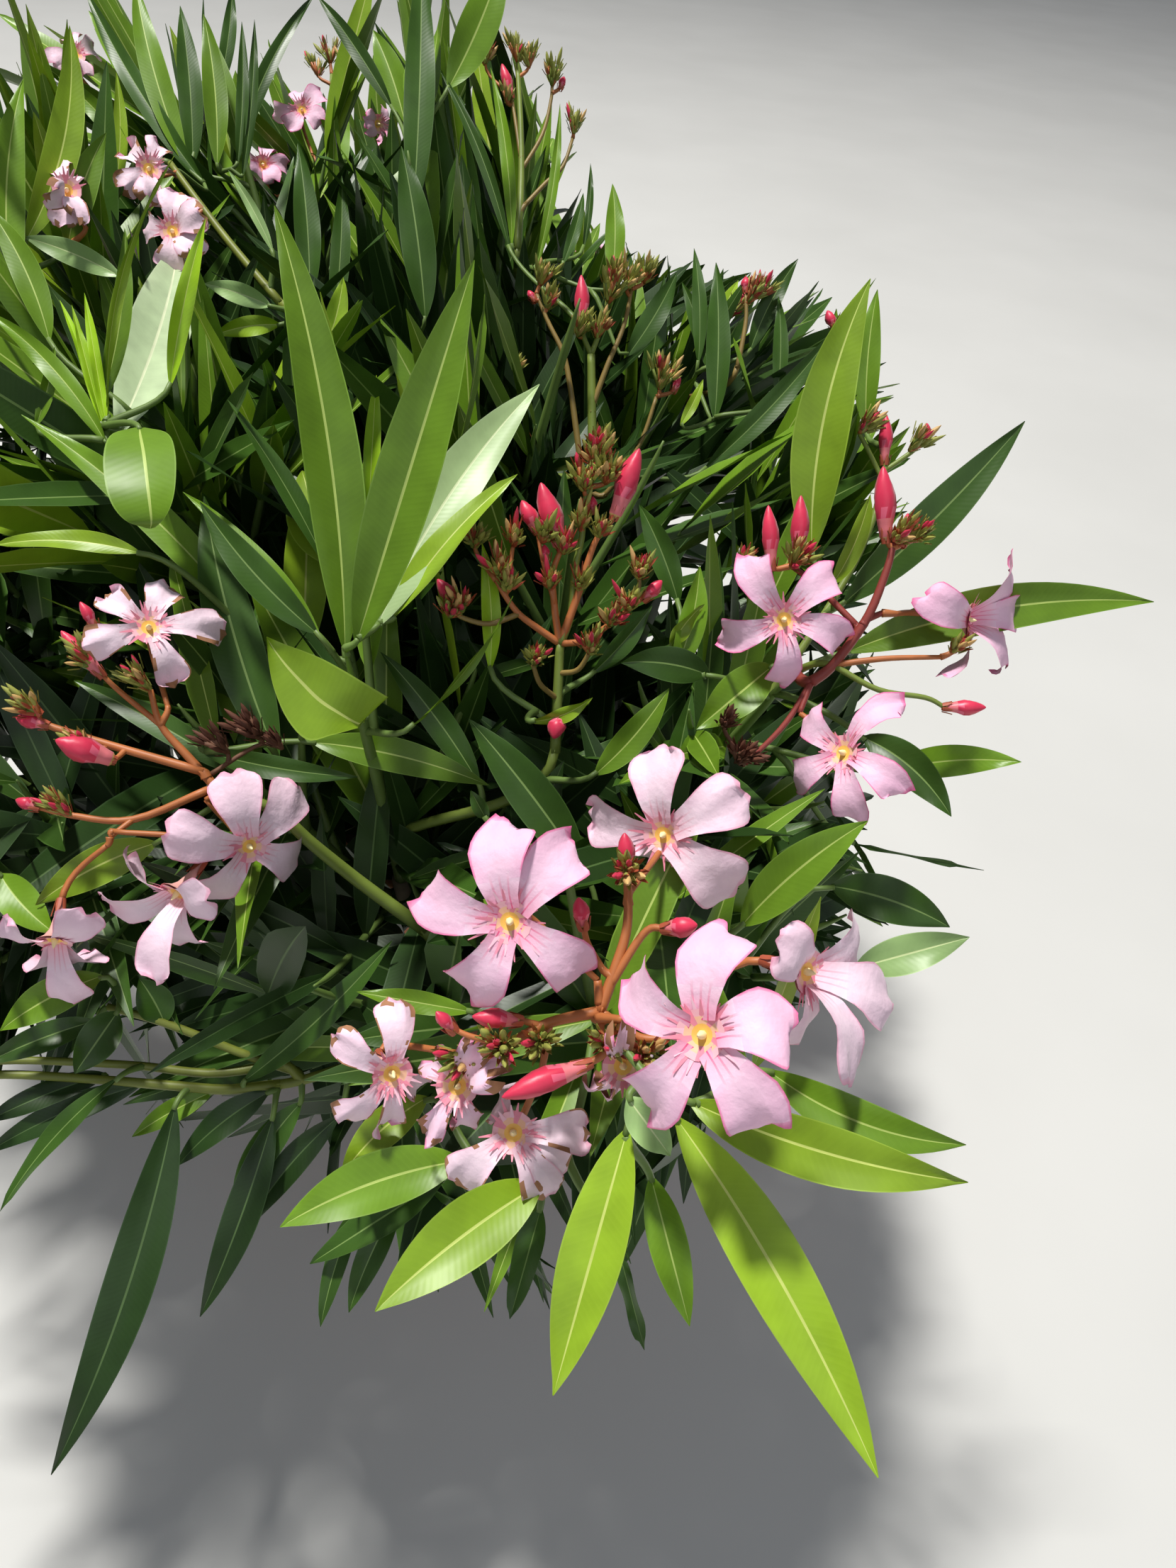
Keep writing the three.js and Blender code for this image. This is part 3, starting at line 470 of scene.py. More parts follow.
BUDS = [
    ("front_bloom", (938, 1310, 301), (984, 1305, 297), 2.7),
    ("front_bloom", (885, 1230, 308), (881, 1175, 306), 2.4),
    ("front_bloom", (823, 1307, 300), (816, 1266, 298), 2.2),
    ("front_bloom", (732, 1440, 300), (666, 1434, 296), 2.6),
    ("front_bloom", (639, 1453, 300), (615, 1427, 298), 1.8),
    ("front_bloom", (830, 1501, 297), (708, 1548, 290), 3.3),
    ("right_bloom", (1250, 763, 384), (1246, 658, 380), 3.6),
    ("right_bloom", (1272, 769, 384), (1281, 724, 384), 2),
    ("right_bloom", (1333, 998, 388), (1391, 998, 386), 2.6),
    ("right_bloom", (1089, 802, 392), (1084, 713, 390), 2.9),
    ("right_bloom", (1126, 791, 392), (1130, 699, 389), 3.1),
    ("right_back", (1248, 653, 430), (1250, 584, 428), 2.6),
    ("right_back", (1305, 617, 430), (1308, 597, 430), 1.6),
    ("left_bloom", (160, 1072, 390), (78, 1044, 380), 4.4),
    ("left_bloom", (66, 1023, 393), (22, 1012, 391), 2.6),
    ("left_bloom", (55, 1006, 392), (33, 990, 390), 1.8),
    ("left_bloom", (53, 1139, 390), (22, 1128, 389), 2.2),
    ("left_bloom", (144, 953, 392), (86, 890, 388), 3),
    ("left_bloom", (135, 885, 392), (113, 849, 390), 2),
    ("bud_mid", (791, 774, 402), (763, 681, 397), 4.1),
    ("bud_mid", (866, 731, 400), (902, 633, 396), 4.0),
    ("bud_mid", (758, 750, 400), (736, 706, 398), 2.9),
    ("bud_mid", (909, 845, 396), (934, 819, 394), 2.3),
    ("bud_mid", (712, 812, 399), (703, 779, 398), 2.2),
    ("bud_mid", (648, 857, 398), (617, 817, 396), 2.7),
    ("bud_mid", (790, 1008, 396), (781, 1042, 393), 3.1),
    ("bud_mid", (837, 722, 402), (836, 700, 401), 1.5),
    ("bud_mid", (843, 640, 400), (843, 628, 400), 1.4),
    ("bud_mid", (770, 790, 402), (768, 768, 401), 1.6),
    ("bud_back", (822, 464, 545), (820, 388, 543), 3.5),
    ("bud_back", (754, 424, 545), (745, 410, 545), 1.8),
    ("bud_back", (892, 404, 545), (894, 384, 545), 1.8),
    ("bud_back", (950, 552, 545), (959, 530, 545), 1.9),
    ("back_mid", (722, 138, 640), (708, 90, 638), 3.0),
    ("back_mid", (790, 125, 640), (796, 108, 640), 2.0),
    ("back_right", (1052, 412, 600), (1052, 390, 600), 2.6),
    ("back_right", (1066, 418, 600), (1075, 398, 600), 2.2),
    ("right_back", (1177, 464, 556), (1167, 438, 555), 2.6),
]
CLUSTERS = [
    ("front_bloom", (885, 1230, 308), 9, 7),
    ("front_bloom", (708, 1477, 300), 8, 9),
    ("front_bloom", (763, 1471, 304), 7, 8),
    ("front_bloom", (857, 1471, 300), 8, 9),
    ("front_bloom", (907, 1488, 302), 9, 8),
    ("front_low", (664, 1488, 316), 7, 8),
    ("right_bloom", (1261, 763, 384), 8, 7),
    ("right_bloom", (1288, 763, 386), 6, 6),
    ("right_bloom", (1117, 799, 392), 7, 7),
    ("right_bloom", (1045, 796, 394), 4, 4),
    ("right_bloom", (1344, 920, 388), 5, 4),
    ("right_back", (1212, 611, 430), 6, 7),
    ("right_back", (1283, 636, 430), 7, 8),
    ("left_bloom", (212, 973, 392), 7, 8),
    ("left_bloom", (133, 940, 392), 6, 6),
    ("left_bloom", (56, 1008, 392), 7, 7),
    ("left_bloom", (122, 1056, 394), 6, 6),
    ("left_bloom", (100, 1150, 392), 7, 7),
    ("bud_mid", (824, 692, 402), 8, 8),
    ("bud_mid", (839, 658, 401), 8, 7),
    ("bud_mid", (854, 682, 401), 7, 7),
    ("bud_mid", (843, 636, 400), 7, 6),
    ("bud_mid", (818, 745, 403), 5, 6),
    ("bud_mid", (845, 758, 402), 5, 5),
    ("bud_mid", (765, 765, 401), 6, 6),
    ("bud_mid", (795, 780, 402), 6, 5),
    ("bud_mid", (724, 770, 400), 7, 7),
    ("bud_mid", (704, 812, 399), 7, 7),
    ("bud_mid", (715, 836, 400), 5, 6),
    ("bud_mid", (635, 870, 398), 7, 7),
    ("bud_mid", (652, 862, 398), 4, 5),
    ("bud_mid", (669, 772, 404), 6, 7),
    ("bud_mid", (902, 815, 396), 7, 6),
    ("bud_mid", (886, 860, 397), 6, 6),
    ("bud_mid", (860, 882, 399), 6, 5),
    ("bud_mid", (832, 922, 401), 7, 7),
    ("bud_mid", (754, 936, 401), 7, 7),
    ("bud_mid", (776, 830, 403), 5, 5),
    ("bud_mid", (818, 832, 405), 5, 5),
    ("bud_back", (815, 475, 545), 9, 9),
    ("bud_back", (842, 478, 545), 8, 9),
    ("bud_back", (858, 428, 545), 12, 12),
    ("bud_back", (866, 400, 545), 9, 10),
    ("bud_back", (772, 436, 545), 7, 8),
    ("bud_back", (761, 404, 545), 9, 9),
    ("bud_back", (883, 410, 545), 8, 10),
    ("bud_back", (908, 400, 545), 7, 9),
    ("bud_back", (930, 550, 545), 11, 12),
    ("bud_back", (718, 534, 560), 8, 9),
    ("back_mid", (730, 88, 640), 9, 10),
    ("back_mid", (746, 96, 640), 7, 9),
    ("back_mid", (684, 92, 642), 7, 9),
    ("back_mid", (779, 122, 640), 9, 10),
    ("back_mid", (809, 190, 640), 8, 9),
    ("back_mid", (716, 148, 640), 6, 8),
    ("back", (466, 90, 714), 10, 11),
    ("back", (488, 98, 714), 7, 9),
    ("back", (449, 108, 714), 7, 9),
    ("back_right", (1054, 428, 600), 8, 9),
    ("back_right", (1072, 420, 600), 6, 8),
    ("right_back", (1175, 470, 556), 5, 7),
]
# The outline that the photograph gives the plant, within which leaves by rule stay
PHOTO_OUTLINE = [
    (-4424, -4424), (686, -4424), (688, 0), (735, 66), (813, 188), (832, 288), (918, 359), (1106, 371),
    (1228, 437), (1272, 553), (1288, 664), (1272, 774), (1233, 885), (1239, 995), (1239, 1106),
    (1211, 1194), (1272, 1283), (1200, 1360), (1117, 1471), (1029, 1548), (979, 1659), (962, 1814),
    (719, 1869), (520, 1825), (442, 1759), (365, 1659), (221, 1582), (100, 1548), (0, 1548),
    (-4424, 1659),
]
# Places that leaves by rule keep clear: the flower clusters that the photograph shows uncovered and
# the dark hollow beside them. Each has a depth and an outline.
CLEAR_WINDOWS = [
    (455, [(619, 818), (686, 774), (708, 619), (951, 619), (962, 841), (885, 918), (852, 1062),
           (763, 1062), (730, 918), (641, 885)]),
    (600, [(724, 376), (973, 376), (973, 553), (885, 619), (796, 619), (730, 465)]),
    (640, [(664, 66), (841, 66), (830, 277), (708, 277)]),
    (330, [(619, 1405), (841, 1172), (995, 1194), (995, 1327), (885, 1371), (951, 1548), (708, 1582)]),
    (420, [(1029, 708), (1327, 653), (1416, 995), (1172, 1029), (1040, 1106)]),
    (420, [(0, 841), (133, 841), (310, 1106), (288, 1172), (0, 1172)]),
    (425, [(430, 1115), (700, 1100), (660, 1190), (560, 1260), (590, 1400), (430, 1330)]),
]


def unit(vectors):
    vectors = np.asarray(vectors, float)
    return vectors / np.linalg.norm(vectors, axis=-1, keepdims=True)


def way_and_length(start, end):
    """The direction and the distance from one point to another."""
    return unit(end - start), np.linalg.norm(end - start)


FORWARD = np.array([0.0, math.cos(CAMERA_PITCH), -math.sin(CAMERA_PITCH)])
LEVEL_RIGHT = np.array([1.0, 0.0, 0.0])
LEVEL_UP = np.cross(LEVEL_RIGHT, FORWARD)
CAMERA_RIGHT = LEVEL_RIGHT * math.cos(CAMERA_ROLL) + LEVEL_UP * math.sin(CAMERA_ROLL)
CAMERA_UP = LEVEL_UP * math.cos(CAMERA_ROLL) - LEVEL_RIGHT * math.sin(CAMERA_ROLL)


def ray(x, y):
    """From the camera through a pixel, one millimetre deep."""
    across = (x - PHOTO_WIDTH / 2) / FOCAL_PIXELS
    rise = (PHOTO_HEIGHT / 2 - y) / FOCAL_PIXELS
    return FORWARD + CAMERA_RIGHT * across + CAMERA_UP * rise


def at_pixel(place):
    x, y, depth = place
    return CAMERA_AT + depth * ray(x, y)


def to_pixels(points):
    """x, y and depth of points (..., 3) in the photograph's frame."""
    offset = points - CAMERA_AT
    depth = offset @ FORWARD
    safe = np.maximum(depth, 1.0)
    x = PHOTO_WIDTH / 2 + FOCAL_PIXELS * (offset @ CAMERA_RIGHT) / safe
    y = PHOTO_HEIGHT / 2 - FOCAL_PIXELS * (offset @ CAMERA_UP) / safe
    return x, y, depth


RANDOM_FACTOR = 1664525
RANDOM_STEP = 1013904223
RANDOM_RANGE = 2 ** 32
# Seeds of what the finish draws for itself
SHAPE_SEED = 90210
BARK_SEED = 11
LEAF_SEED = 3 * FIRST_SEED
SOIL_SEED = 424242
# A full turn in radians, as the random draws take it
FULL_TURN = 6.3


def seeded(seed):
    """Random numbers from 0 to 1, the same in every run and in the part's source."""
    state = [seed]

    def draw():
        state[0] = (state[0] * RANDOM_FACTOR + RANDOM_STEP) % RANDOM_RANGE
        return state[0] / RANDOM_RANGE
    return draw


def tilted(tilt, bearing):
    """The direction that leans this many degrees from upright, toward a bearing."""
    flat = math.sin(math.radians(tilt))
    turn = math.radians(bearing)
    return np.array([flat * math.cos(turn), flat * math.sin(turn), math.cos(math.radians(tilt))])


def sideways(direction):
    """Two directions square to this one."""
    helper = LEVEL_RIGHT if abs(direction[2]) > 0.9 else UP
    first = unit(np.cross(helper, direction))
    return first, np.cross(direction, first)


def spread_from(axis, spread, turn):
    """The direction this many degrees off an axis, at a turn round it."""
    first, second = sideways(axis)
    outward = first * math.cos(math.radians(turn)) + second * math.sin(math.radians(turn))
    return axis * math.cos(math.radians(spread)) + outward * math.sin(math.radians(spread))


def full_circle(count):
    """Evenly spaced angles round a full turn."""
    return np.arange(count) * 2 * math.pi / count


def outward_ways(axis, angles):
    """The directions out from an axis at these angles."""
    first, second = sideways(axis)
    return first * np.cos(angles)[..., None] + second * np.sin(angles)[..., None]


def mix(low, high, share):
    return low + (high - low) * share


def ranged(least_and_more, share):
    """A range's least value and a share of what may come on top."""
    least, more = least_and_more
    return least + more * share


# Materials

def feed(node, inputs):
    """Sets a node's inputs, each to a value or from the output that feeds it."""
    for name, value in inputs.items():
        if isinstance(value, bpy.types.NodeSocket):
            node.id_data.links.new(value, node.inputs[name])
        else:
            node.inputs[name].default_value = value


def add_node(material, kind, inputs, **settings):
    node = material.node_tree.nodes.new(kind)
    for name, value in settings.items():
        setattr(node, name, value)
    feed(node, inputs)
    return node


def node_material(name, roughness, bump_scale, bump_depth, colours, sheen=0.0, gloss=0.5):
    """A Principled material with fine relief, mottled from a low colour to a high one."""
    material = bpy.data.materials.new(name)
    material.use_nodes = True
    place = add_node(material, "ShaderNodeTexCoord", {})
    mottle = {"Vector": place.outputs["Object"], "Scale": bump_scale, "Detail": 5.0}
    noise = add_node(material, "ShaderNodeTexNoise", mottle).outputs["Fac"]
    ramp = add_node(material, "ShaderNodeValToRGB", {"Fac": noise}, name="mottling")
    for stop, position, colour in zip(ramp.color_ramp.elements, (0.3, 0.7), colours):
        stop.position = position
        stop.color = (*colour, 1)
    height = {"Height": noise, "Strength": 0.6, "Distance": bump_depth}
    relief = add_node(material, "ShaderNodeBump", height, name="relief")
    feed(material.node_tree.nodes["Principled BSDF"], {
        "Roughness": roughness, "Specular IOR Level": gloss, "Sheen Weight": sheen,
        "Base Color": ramp.outputs["Color"], "Normal": relief.outputs["Normal"]})
    return material


def around(colour, spread):
    """A darker and a lighter colour round one."""
    low = tuple(c * (1 - spread) for c in colour)
    high = tuple(min(1.0, c * (1 + spread)) for c in colour)
    return low, high


def place_parts(material):
    """A point's own place on its leaf or petal: across or edge, along, and the piece's own share."""
    place = add_node(material, "ShaderNodeAttribute", {}, attribute_name="place")
    return add_node(material, "ShaderNodeSeparateXYZ", {"Vector": place.outputs["Vector"]}).outputs


def calculated(material, operation, *values):
    node = add_node(material, "ShaderNodeMath", dict(enumerate(values)), operation=operation)
    return node.outputs[0]


def spanned(material, value, starts, ends, low, high):
    """From low to high as a value goes from starts to ends."""
    inputs = {"Value": value, "From Min": starts, "From Max": ends, "To Min": low, "To Max": high}
    return add_node(material, "ShaderNodeMapRange", inputs).outputs["Result"]


def mottled_to(material, share, colour):
    """The material's mottled colour, going over to another."""
    mottled = material.node_tree.nodes["mottling"].outputs["Color"]
    inputs = {"Factor": share, "A": mottled, "B": (*colour, 1)}
    return add_node(material, "ShaderNodeMix", inputs, data_type="RGBA").outputs["Result"]


def tint(material, colour, channel, amount):
    """Gives a piece its colour, with the saturation or value that is the piece's own."""
    own = add_node(material, "ShaderNodeHueSaturation", {"Color": colour, channel: amount})
    feed(material.node_tree.nodes["Principled BSDF"], {"Base Color": own.outputs["Color"]})


BLADE_ROUGHNESS = 0.38
BLADE_GLOSS = 0.34
VEIN_GAP = 2.0
VEIN_SLANT = 5.0
VEIN_SHOWS = 0.11
VEIN_HEIGHT = 0.00003
LEAF_VALUES = (0.8, 1.2)


def leaf_material(name, colour, vein):
    """A leaf's blade: fine side veins in pairs, mottling, and a shade of its own for each leaf."""
    material = node_material(name, BLADE_ROUGHNESS, 90.0, 0.0006, around(colour, 0.13),
                             gloss=BLADE_GLOSS)
    parts = place_parts(material)
    across = calculated(material, "ABSOLUTE", parts["X"])
    slant = calculated(material, "MULTIPLY_ADD", across, -VEIN_SLANT, parts["Y"])
    wave = calculated(material, "MULTIPLY", slant, 2 * math.pi / VEIN_GAP)
    vein_lines = calculated(material, "SINE", wave)
    stripe = spanned(material, vein_lines, 0.2, 1.0, 0.0, VEIN_SHOWS)
    veined = mottled_to(material, stripe, vein)
    tint(material, veined, "Value", spanned(material, parts["Z"], 0.0, 1.0, *LEAF_VALUES))
    height = {"Height": vein_lines, "Strength": 0.15, "Distance": VEIN_HEIGHT}
    feed(material.node_tree.nodes["relief"], height)
    return material


# Each tone of leaf: the colours of its blade, its side veins and rim, and its midrib
# Most tones are one green with painted light: sun and olive are painted sunlight, mid is painted half shade,
# deep and shade are painted shade, white and silver are painted sunlight and sheen, and pale is the greyish
# underside with painted sunlight; young is the young leaves' own colour
TONES = {
    "sun": ((0.235, 0.375, 0.018), (0.285, 0.43, 0.032), (0.52, 0.61, 0.14)),
    "olive": ((0.20, 0.33, 0.014), (0.25, 0.39, 0.026), (0.50, 0.60, 0.14)),
    "mid": ((0.125, 0.240, 0.013), (0.165, 0.300, 0.024), (0.40, 0.52, 0.12)),
    "deep": ((0.038, 0.093, 0.011), (0.052, 0.118, 0.017), (0.17, 0.27, 0.07)),
    "shade": ((0.019, 0.048, 0.009), (0.026, 0.064, 0.014), (0.07, 0.13, 0.035)),
    "pale": ((0.30, 0.46, 0.17), (0.37, 0.53, 0.22), (0.56, 0.66, 0.32)),
    "white": ((0.47, 0.59, 0.35), (0.54, 0.65, 0.42), (0.70, 0.76, 0.50)),
    "silver": ((0.37, 0.51, 0.23), (0.43, 0.57, 0.29), (0.62, 0.71, 0.40)),
    "young": ((0.32, 0.55, 0.016), (0.39, 0.61, 0.030), (0.56, 0.70, 0.12)),
}
# The looks of one tone follow each other: blade, midrib and rim
RIB_LOOK = 1
RIM_LOOK = 2
TONE_INDEX = {}
LEAF_LOOKS = []
for tone, (blade, vein, rib) in TONES.items():
    TONE_INDEX[tone] = len(LEAF_LOOKS)
    LEAF_LOOKS.append(leaf_material(f"leaf_{tone}", blade, vein))
    for kind, colour in [("rib", rib), ("rim", vein)]:
        LEAF_LOOKS.append(node_material(f"leaf_{tone}_{kind}", roughness=0.45, bump_scale=60.0,
                                        bump_depth=0.0003, colours=around(colour, 0.12)))


def plain_looks(table):
    """Materials by name, and each name's place in the list."""
    looks = [node_material(name, rough, scale, 0.0004, around(colour, spread), sheen)
             for name, (colour, spread, rough, scale, sheen) in table.items()]
    return looks, {name: number for number, name in enumerate(table)}


PETAL_PINKNESS = (0.55, 1.3)


def petal_material(name, channel, starts, ends, low, high):
    """A part of a petal, whose colour goes from low to high as its place goes from starts to ends."""
    material = node_material(name, 0.6, 210.0, 0.0009, around(low, 0.05), 0.1)
    parts = place_parts(material)
    share = spanned(material, parts[channel], starts, ends, 0.0, 1.0)
    pinkness = spanned(material, parts["Z"], 0.0, 1.0, *PETAL_PINKNESS)
    tint(material, mottled_to(material, share, high), "Saturation", pinkness)
    return material


PALE = (0.90, 0.66, 0.79)
PALE_EDGE = (0.88, 0.56, 0.72)
RIM = (0.80, 0.24, 0.42)
FOOT = (0.88, 0.42, 0.56)
STREAK = (0.78, 0.17, 0.30)
RIM_FROM = 0.88
FOOT_TO = 0.3
STREAK_TO = 0.38

# Plain looks: colour, how far it varies, roughness, the scale of the mottling, and sheen
PETAL_LOOKS, PETAL = plain_looks({
    "throat_rim": ((0.94, 0.50, 0.56), 0.06, 0.5, 160, 0.0),
    "throat": ((0.97, 0.56, 0.36), 0.06, 0.5, 160, 0.0),
    "throat_deep": ((0.98, 0.56, 0.12), 0.06, 0.5, 160, 0.0),
    "throat_line": ((0.86, 0.28, 0.38), 0.08, 0.5, 160, 0.0),
    "anthers": ((0.98, 0.86, 0.46), 0.05, 0.6, 160, 0.0),
    "corona": ((0.93, 0.56, 0.67), 0.06, 0.5, 160, 0.1),
    "petal_dry": ((0.34, 0.16, 0.08), 0.30, 0.8, 90, 0.0),
    "petal_tube": ((0.80, 0.40, 0.36), 0.10, 0.55, 120, 0.1),
})
for part in [("petal_pale", "X", 0.0, RIM_FROM, PALE, PALE_EDGE),
             ("petal_rim", "X", RIM_FROM, 1.0, PALE_EDGE, RIM),
             ("petal_foot", "Y", 0.0, FOOT_TO, FOOT, PALE),
             ("petal_streak", "Y", 0.0, STREAK_TO, STREAK, PALE)]:
    PETAL[part[0]] = len(PETAL_LOOKS)
    PETAL_LOOKS.append(petal_material(*part))
BUD_LOOKS, BUD = plain_looks({
    "bud_red": ((0.68, 0.030, 0.085), 0.14, 0.42, 110, 0.1),
    "bud_pink": ((0.82, 0.13, 0.22), 0.12, 0.42, 110, 0.1),
    "bud_blush": ((0.80, 0.20, 0.23), 0.12, 0.42, 110, 0.1),
    "bud_base": ((0.66, 0.42, 0.16), 0.14, 0.5, 110, 0.0),
    "bud_dry": ((0.13, 0.045, 0.025), 0.25, 0.7, 110, 0.0),
    "sepal_red": ((0.40, 0.085, 0.040), 0.20, 0.55, 110, 0.0),
    "sepal_green": ((0.34, 0.36, 0.075), 0.20, 0.55, 110, 0.0),
})
STALK_LOOKS, STALK = plain_looks({
    "stalk_red": ((0.46, 0.15, 0.045), 0.16, 0.5, 70, 0.0),
    "stalk_dark": ((0.27, 0.045, 0.035), 0.16, 0.5, 70, 0.0),
    "stalk_green": ((0.18, 0.245, 0.040), 0.16, 0.5, 70, 0.0),
    "stalk_olive": ((0.25, 0.17, 0.045), 0.2, 0.5, 70, 0.0),
    "stalk_twig": ((0.17, 0.20, 0.028), 0.2, 0.5, 70, 0.0),
    "stalk_brown": ((0.17, 0.075, 0.04), 0.2, 0.7, 70, 0.0),
    "twig_green": ((0.13, 0.21, 0.045), 0.15, 0.5, 60, 0.0),
})
# Looks between two colours: roughness, the scale and depth of the relief, and the colours
BARK, GREEN_BARK, CLAY, SOIL, FLOOR = (node_material(*row) for row in [
    ("bark", 0.85, 55.0, 0.0015, ((0.10, 0.075, 0.045), (0.24, 0.20, 0.13))),
    ("green_bark", 0.65, 50.0, 0.0008, ((0.12, 0.15, 0.05), (0.23, 0.25, 0.10))),
    ("clay", 0.88, 26.0, 0.0009, ((0.42, 0.155, 0.075), (0.58, 0.26, 0.145))),
    ("soil", 0.97, 70.0, 0.004, ((0.020, 0.013, 0.009), (0.085, 0.055, 0.036))),
    ("floor_pale", 0.8, 3.0, 0.0002, ((0.62, 0.62, 0.60), (0.66, 0.66, 0.64))),
])


# Meshes

class Batch:
    """Grids of quads, gathered into one piece. Every face has its own material."""

    def __init__(self, name, slot, looks, replaced=()):
        self.name = name
        self.slot = slot
        self.looks = looks
        self.replaced = list(replaced)
        self.points = []
        self.places = []
        self.quads = []
        self.marks = []
        self.size = 0

    def grids(self, points, marks, places=None, closed=False):
        """points (grids, rows, columns, 3), and a material index for each face or for all."""
        count, rows, columns, _ = points.shape
        index = self.size + np.arange(count * rows * columns).reshape(count, rows, columns)
        if closed:
            index = np.concatenate([index, index[:, :, :1]], axis=2)
        corners = [index[:, :-1, :-1], index[:, :-1, 1:], index[:, 1:, 1:], index[:, 1:, :-1]]
        quads = np.stack(corners, axis=-1)
        self.quads.append(quads.reshape(-1, 4))
        self.marks.append(np.broadcast_to(marks, quads.shape[:3]).reshape(-1))
        self.points.append(points.reshape(-1, 3))
        if places is None:
            places = np.zeros_like(points)
        self.places.append(places.reshape(-1, 3))
        self.size += count * rows * columns

    def build(self):
        """Makes the piece, which rides on the part's only body."""
        mesh = bpy.data.meshes.new(self.name)
        points = np.concatenate(self.points) * MM
        quads = np.concatenate(self.quads)
        mesh.vertices.add(len(points))
        mesh.vertices.foreach_set("co", points.astype(np.float32).ravel())
        mesh.loops.add(quads.size)
        mesh.loops.foreach_set("vertex_index", quads.astype(np.int32).ravel())
        mesh.polygons.add(len(quads))
        mesh.polygons.foreach_set("loop_start", np.arange(0, quads.size, 4, dtype=np.int32))
        mesh.polygons.foreach_set("material_index", np.concatenate(self.marks).astype(np.int32))
        mesh.polygons.foreach_set("use_smooth", np.ones(len(quads), dtype=bool))
        for look in self.looks:
            mesh.materials.append(look)
        mesh.update(calc_edges=True)
        place = mesh.attributes.new("place", "FLOAT_VECTOR", "POINT")
        place.data.foreach_set("vector", np.concatenate(self.places).astype(np.float32).ravel())
        piece = bpy.data.objects.new(self.name, mesh)
        bpy.context.scene.collection.objects.link(piece)
        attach(piece, "root")
        if self.replaced:
            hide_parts(*self.replaced)


def as_column(values):
    return np.array(values, float)[:, None]


def rings_round(base, axis, outward, depths, radii):
    """Rings round an axis. radii are a number a ring, or one a point."""
    radii = np.asarray(radii, float)
    radii = radii.reshape(len(radii), -1)[..., None]
    return base + axis * as_column(depths)[..., None] + outward * radii


def frames_along(path):
    """Tangents and two side directions that turn as little as they can along a path."""
    tangents = unit(np.gradient(path, axis=0))
    first, _ = sideways(tangents[0])
    sides = []
    for tangent in tangents:
        first = unit(first - tangent * (first @ tangent))
        sides.append(first)
    sides = np.array(sides)
    return tangents, sides, np.cross(tangents, sides)


CAP = 0.04


def tube(batch, path, radii, sides, look, relief=None):
    """A closed round piece along a path. relief (rows, sides) is added to the radius."""
    radii = np.broadcast_to(np.asarray(radii, float), (len(path),))
    _, first, second = frames_along(path)
    turn = full_circle(sides)
    outward = (first[:, None] * np.cos(turn)[None, :, None]
               + second[:, None] * np.sin(turn)[None, :, None])
    reach = np.repeat(radii[:, None], sides, axis=1)
    if relief is not None:
        reach = reach + relief
    rings = path[:, None] + outward * reach[..., None]
    ends = [path[0] + outward[0] * radii[0] * CAP, path[-1] + outward[-1] * radii[-1] * CAP]
    rings = np.concatenate([ends[:1], rings, ends[1:]])
    batch.grids(rings[None], look, closed=True)


def smooth_path(points, count):
    """A Catmull-Rom curve through points, at evenly spaced shares."""
    points = np.asarray(points, float)
    if len(points) == 2:
        return points[0] + (points[1] - points[0]) * np.linspace(0, 1, count)[:, None]
    padded = np.concatenate([[2 * points[0] - points[1]], points, [2 * points[-1] - points[-2]]])
    spots = np.linspace(0, len(points) - 1, count)
    piece = np.minimum(spots.astype(int), len(points) - 2)
    t = (spots - piece)[:, None]
    a, b, c, d = (padded[piece + k] for k in range(4))
    return 0.5 * (2 * b + (c - a) * t + (2 * a - 5 * b + 4 * c - d) * t ** 2
                  + (3 * b - a - 3 * c + d) * t ** 3)


def bezier(a, b, c, d, count=160):
    """A cubic curve, as points evenly spaced along it."""
    t = np.linspace(0, 1, count)[:, None]
    fine = a * (1 - t) ** 3 + 3 * b * t * (1 - t) ** 2 + 3 * c * t ** 2 * (1 - t) + d * t ** 3
    steps = np.concatenate([[0], np.cumsum(np.linalg.norm(np.diff(fine, axis=0), axis=1))])
    even = np.linspace(0, steps[-1], count)
    return np.stack([np.interp(even, steps, fine[:, axis]) for axis in range(3)], axis=1)


def point_at(path, share):
    """The point at a share of a path, from 0 to 1."""
    spot = share * (len(path) - 1)
    low = min(int(spot), len(path) - 2)
    return path[low] + (path[low + 1] - path[low]) * (spot - low)


# Leaves

LEAF_STALK = 0.07
LEAF_POINT = 0.015
# How fast a blade widens from its foot and narrows to its tip
FOOT_POWER = 0.76
TIP_POWER = 0.98
WIDEST_AT = FOOT_POWER / (FOOT_POWER + TIP_POWER)
# How far across the midrib reaches, and how deep it lies
RIB_REACH = 0.1
RIB_GROOVE = 0.25
# A blade's wavy edge: how fast it waves along the blade, and how far the two sides are out of step
RIPPLE_PACE = 9.0
RIPPLE_STEP = 1.4
# Ranges of a blade's fold in degrees and of its waves' height: placed by pixel, and by rule
PLACED_FOLD = (9, 9)
PLACED_WAVE = (0.5, 0.7)
RULE_FOLD = (6, 12)
RULE_WAVE = (0.4, 0.8)
FINE_ACROSS = np.array([-1.0, -0.955, -0.5, -0.045, 0.045, 0.5, 0.955, 1.0])
FINE_SHARES = np.linspace(0, 1, 21)
RULE_ACROSS = np.array([-1.0, -0.94, -0.05, 0.05, 0.94, 1.0])
RULE_SHARES = np.array([0.0, 0.07, 0.17, 0.3, 0.45, 0.6, 0.75, 0.88, 0.96, 1.0])


def leaf_width(share):
    full = (share / WIDEST_AT) ** FOOT_POWER * ((1 - share) / (1 - WIDEST_AT)) ** TIP_POWER
    return np.maximum(full, np.where(share < 0.5, LEAF_STALK, LEAF_POINT))


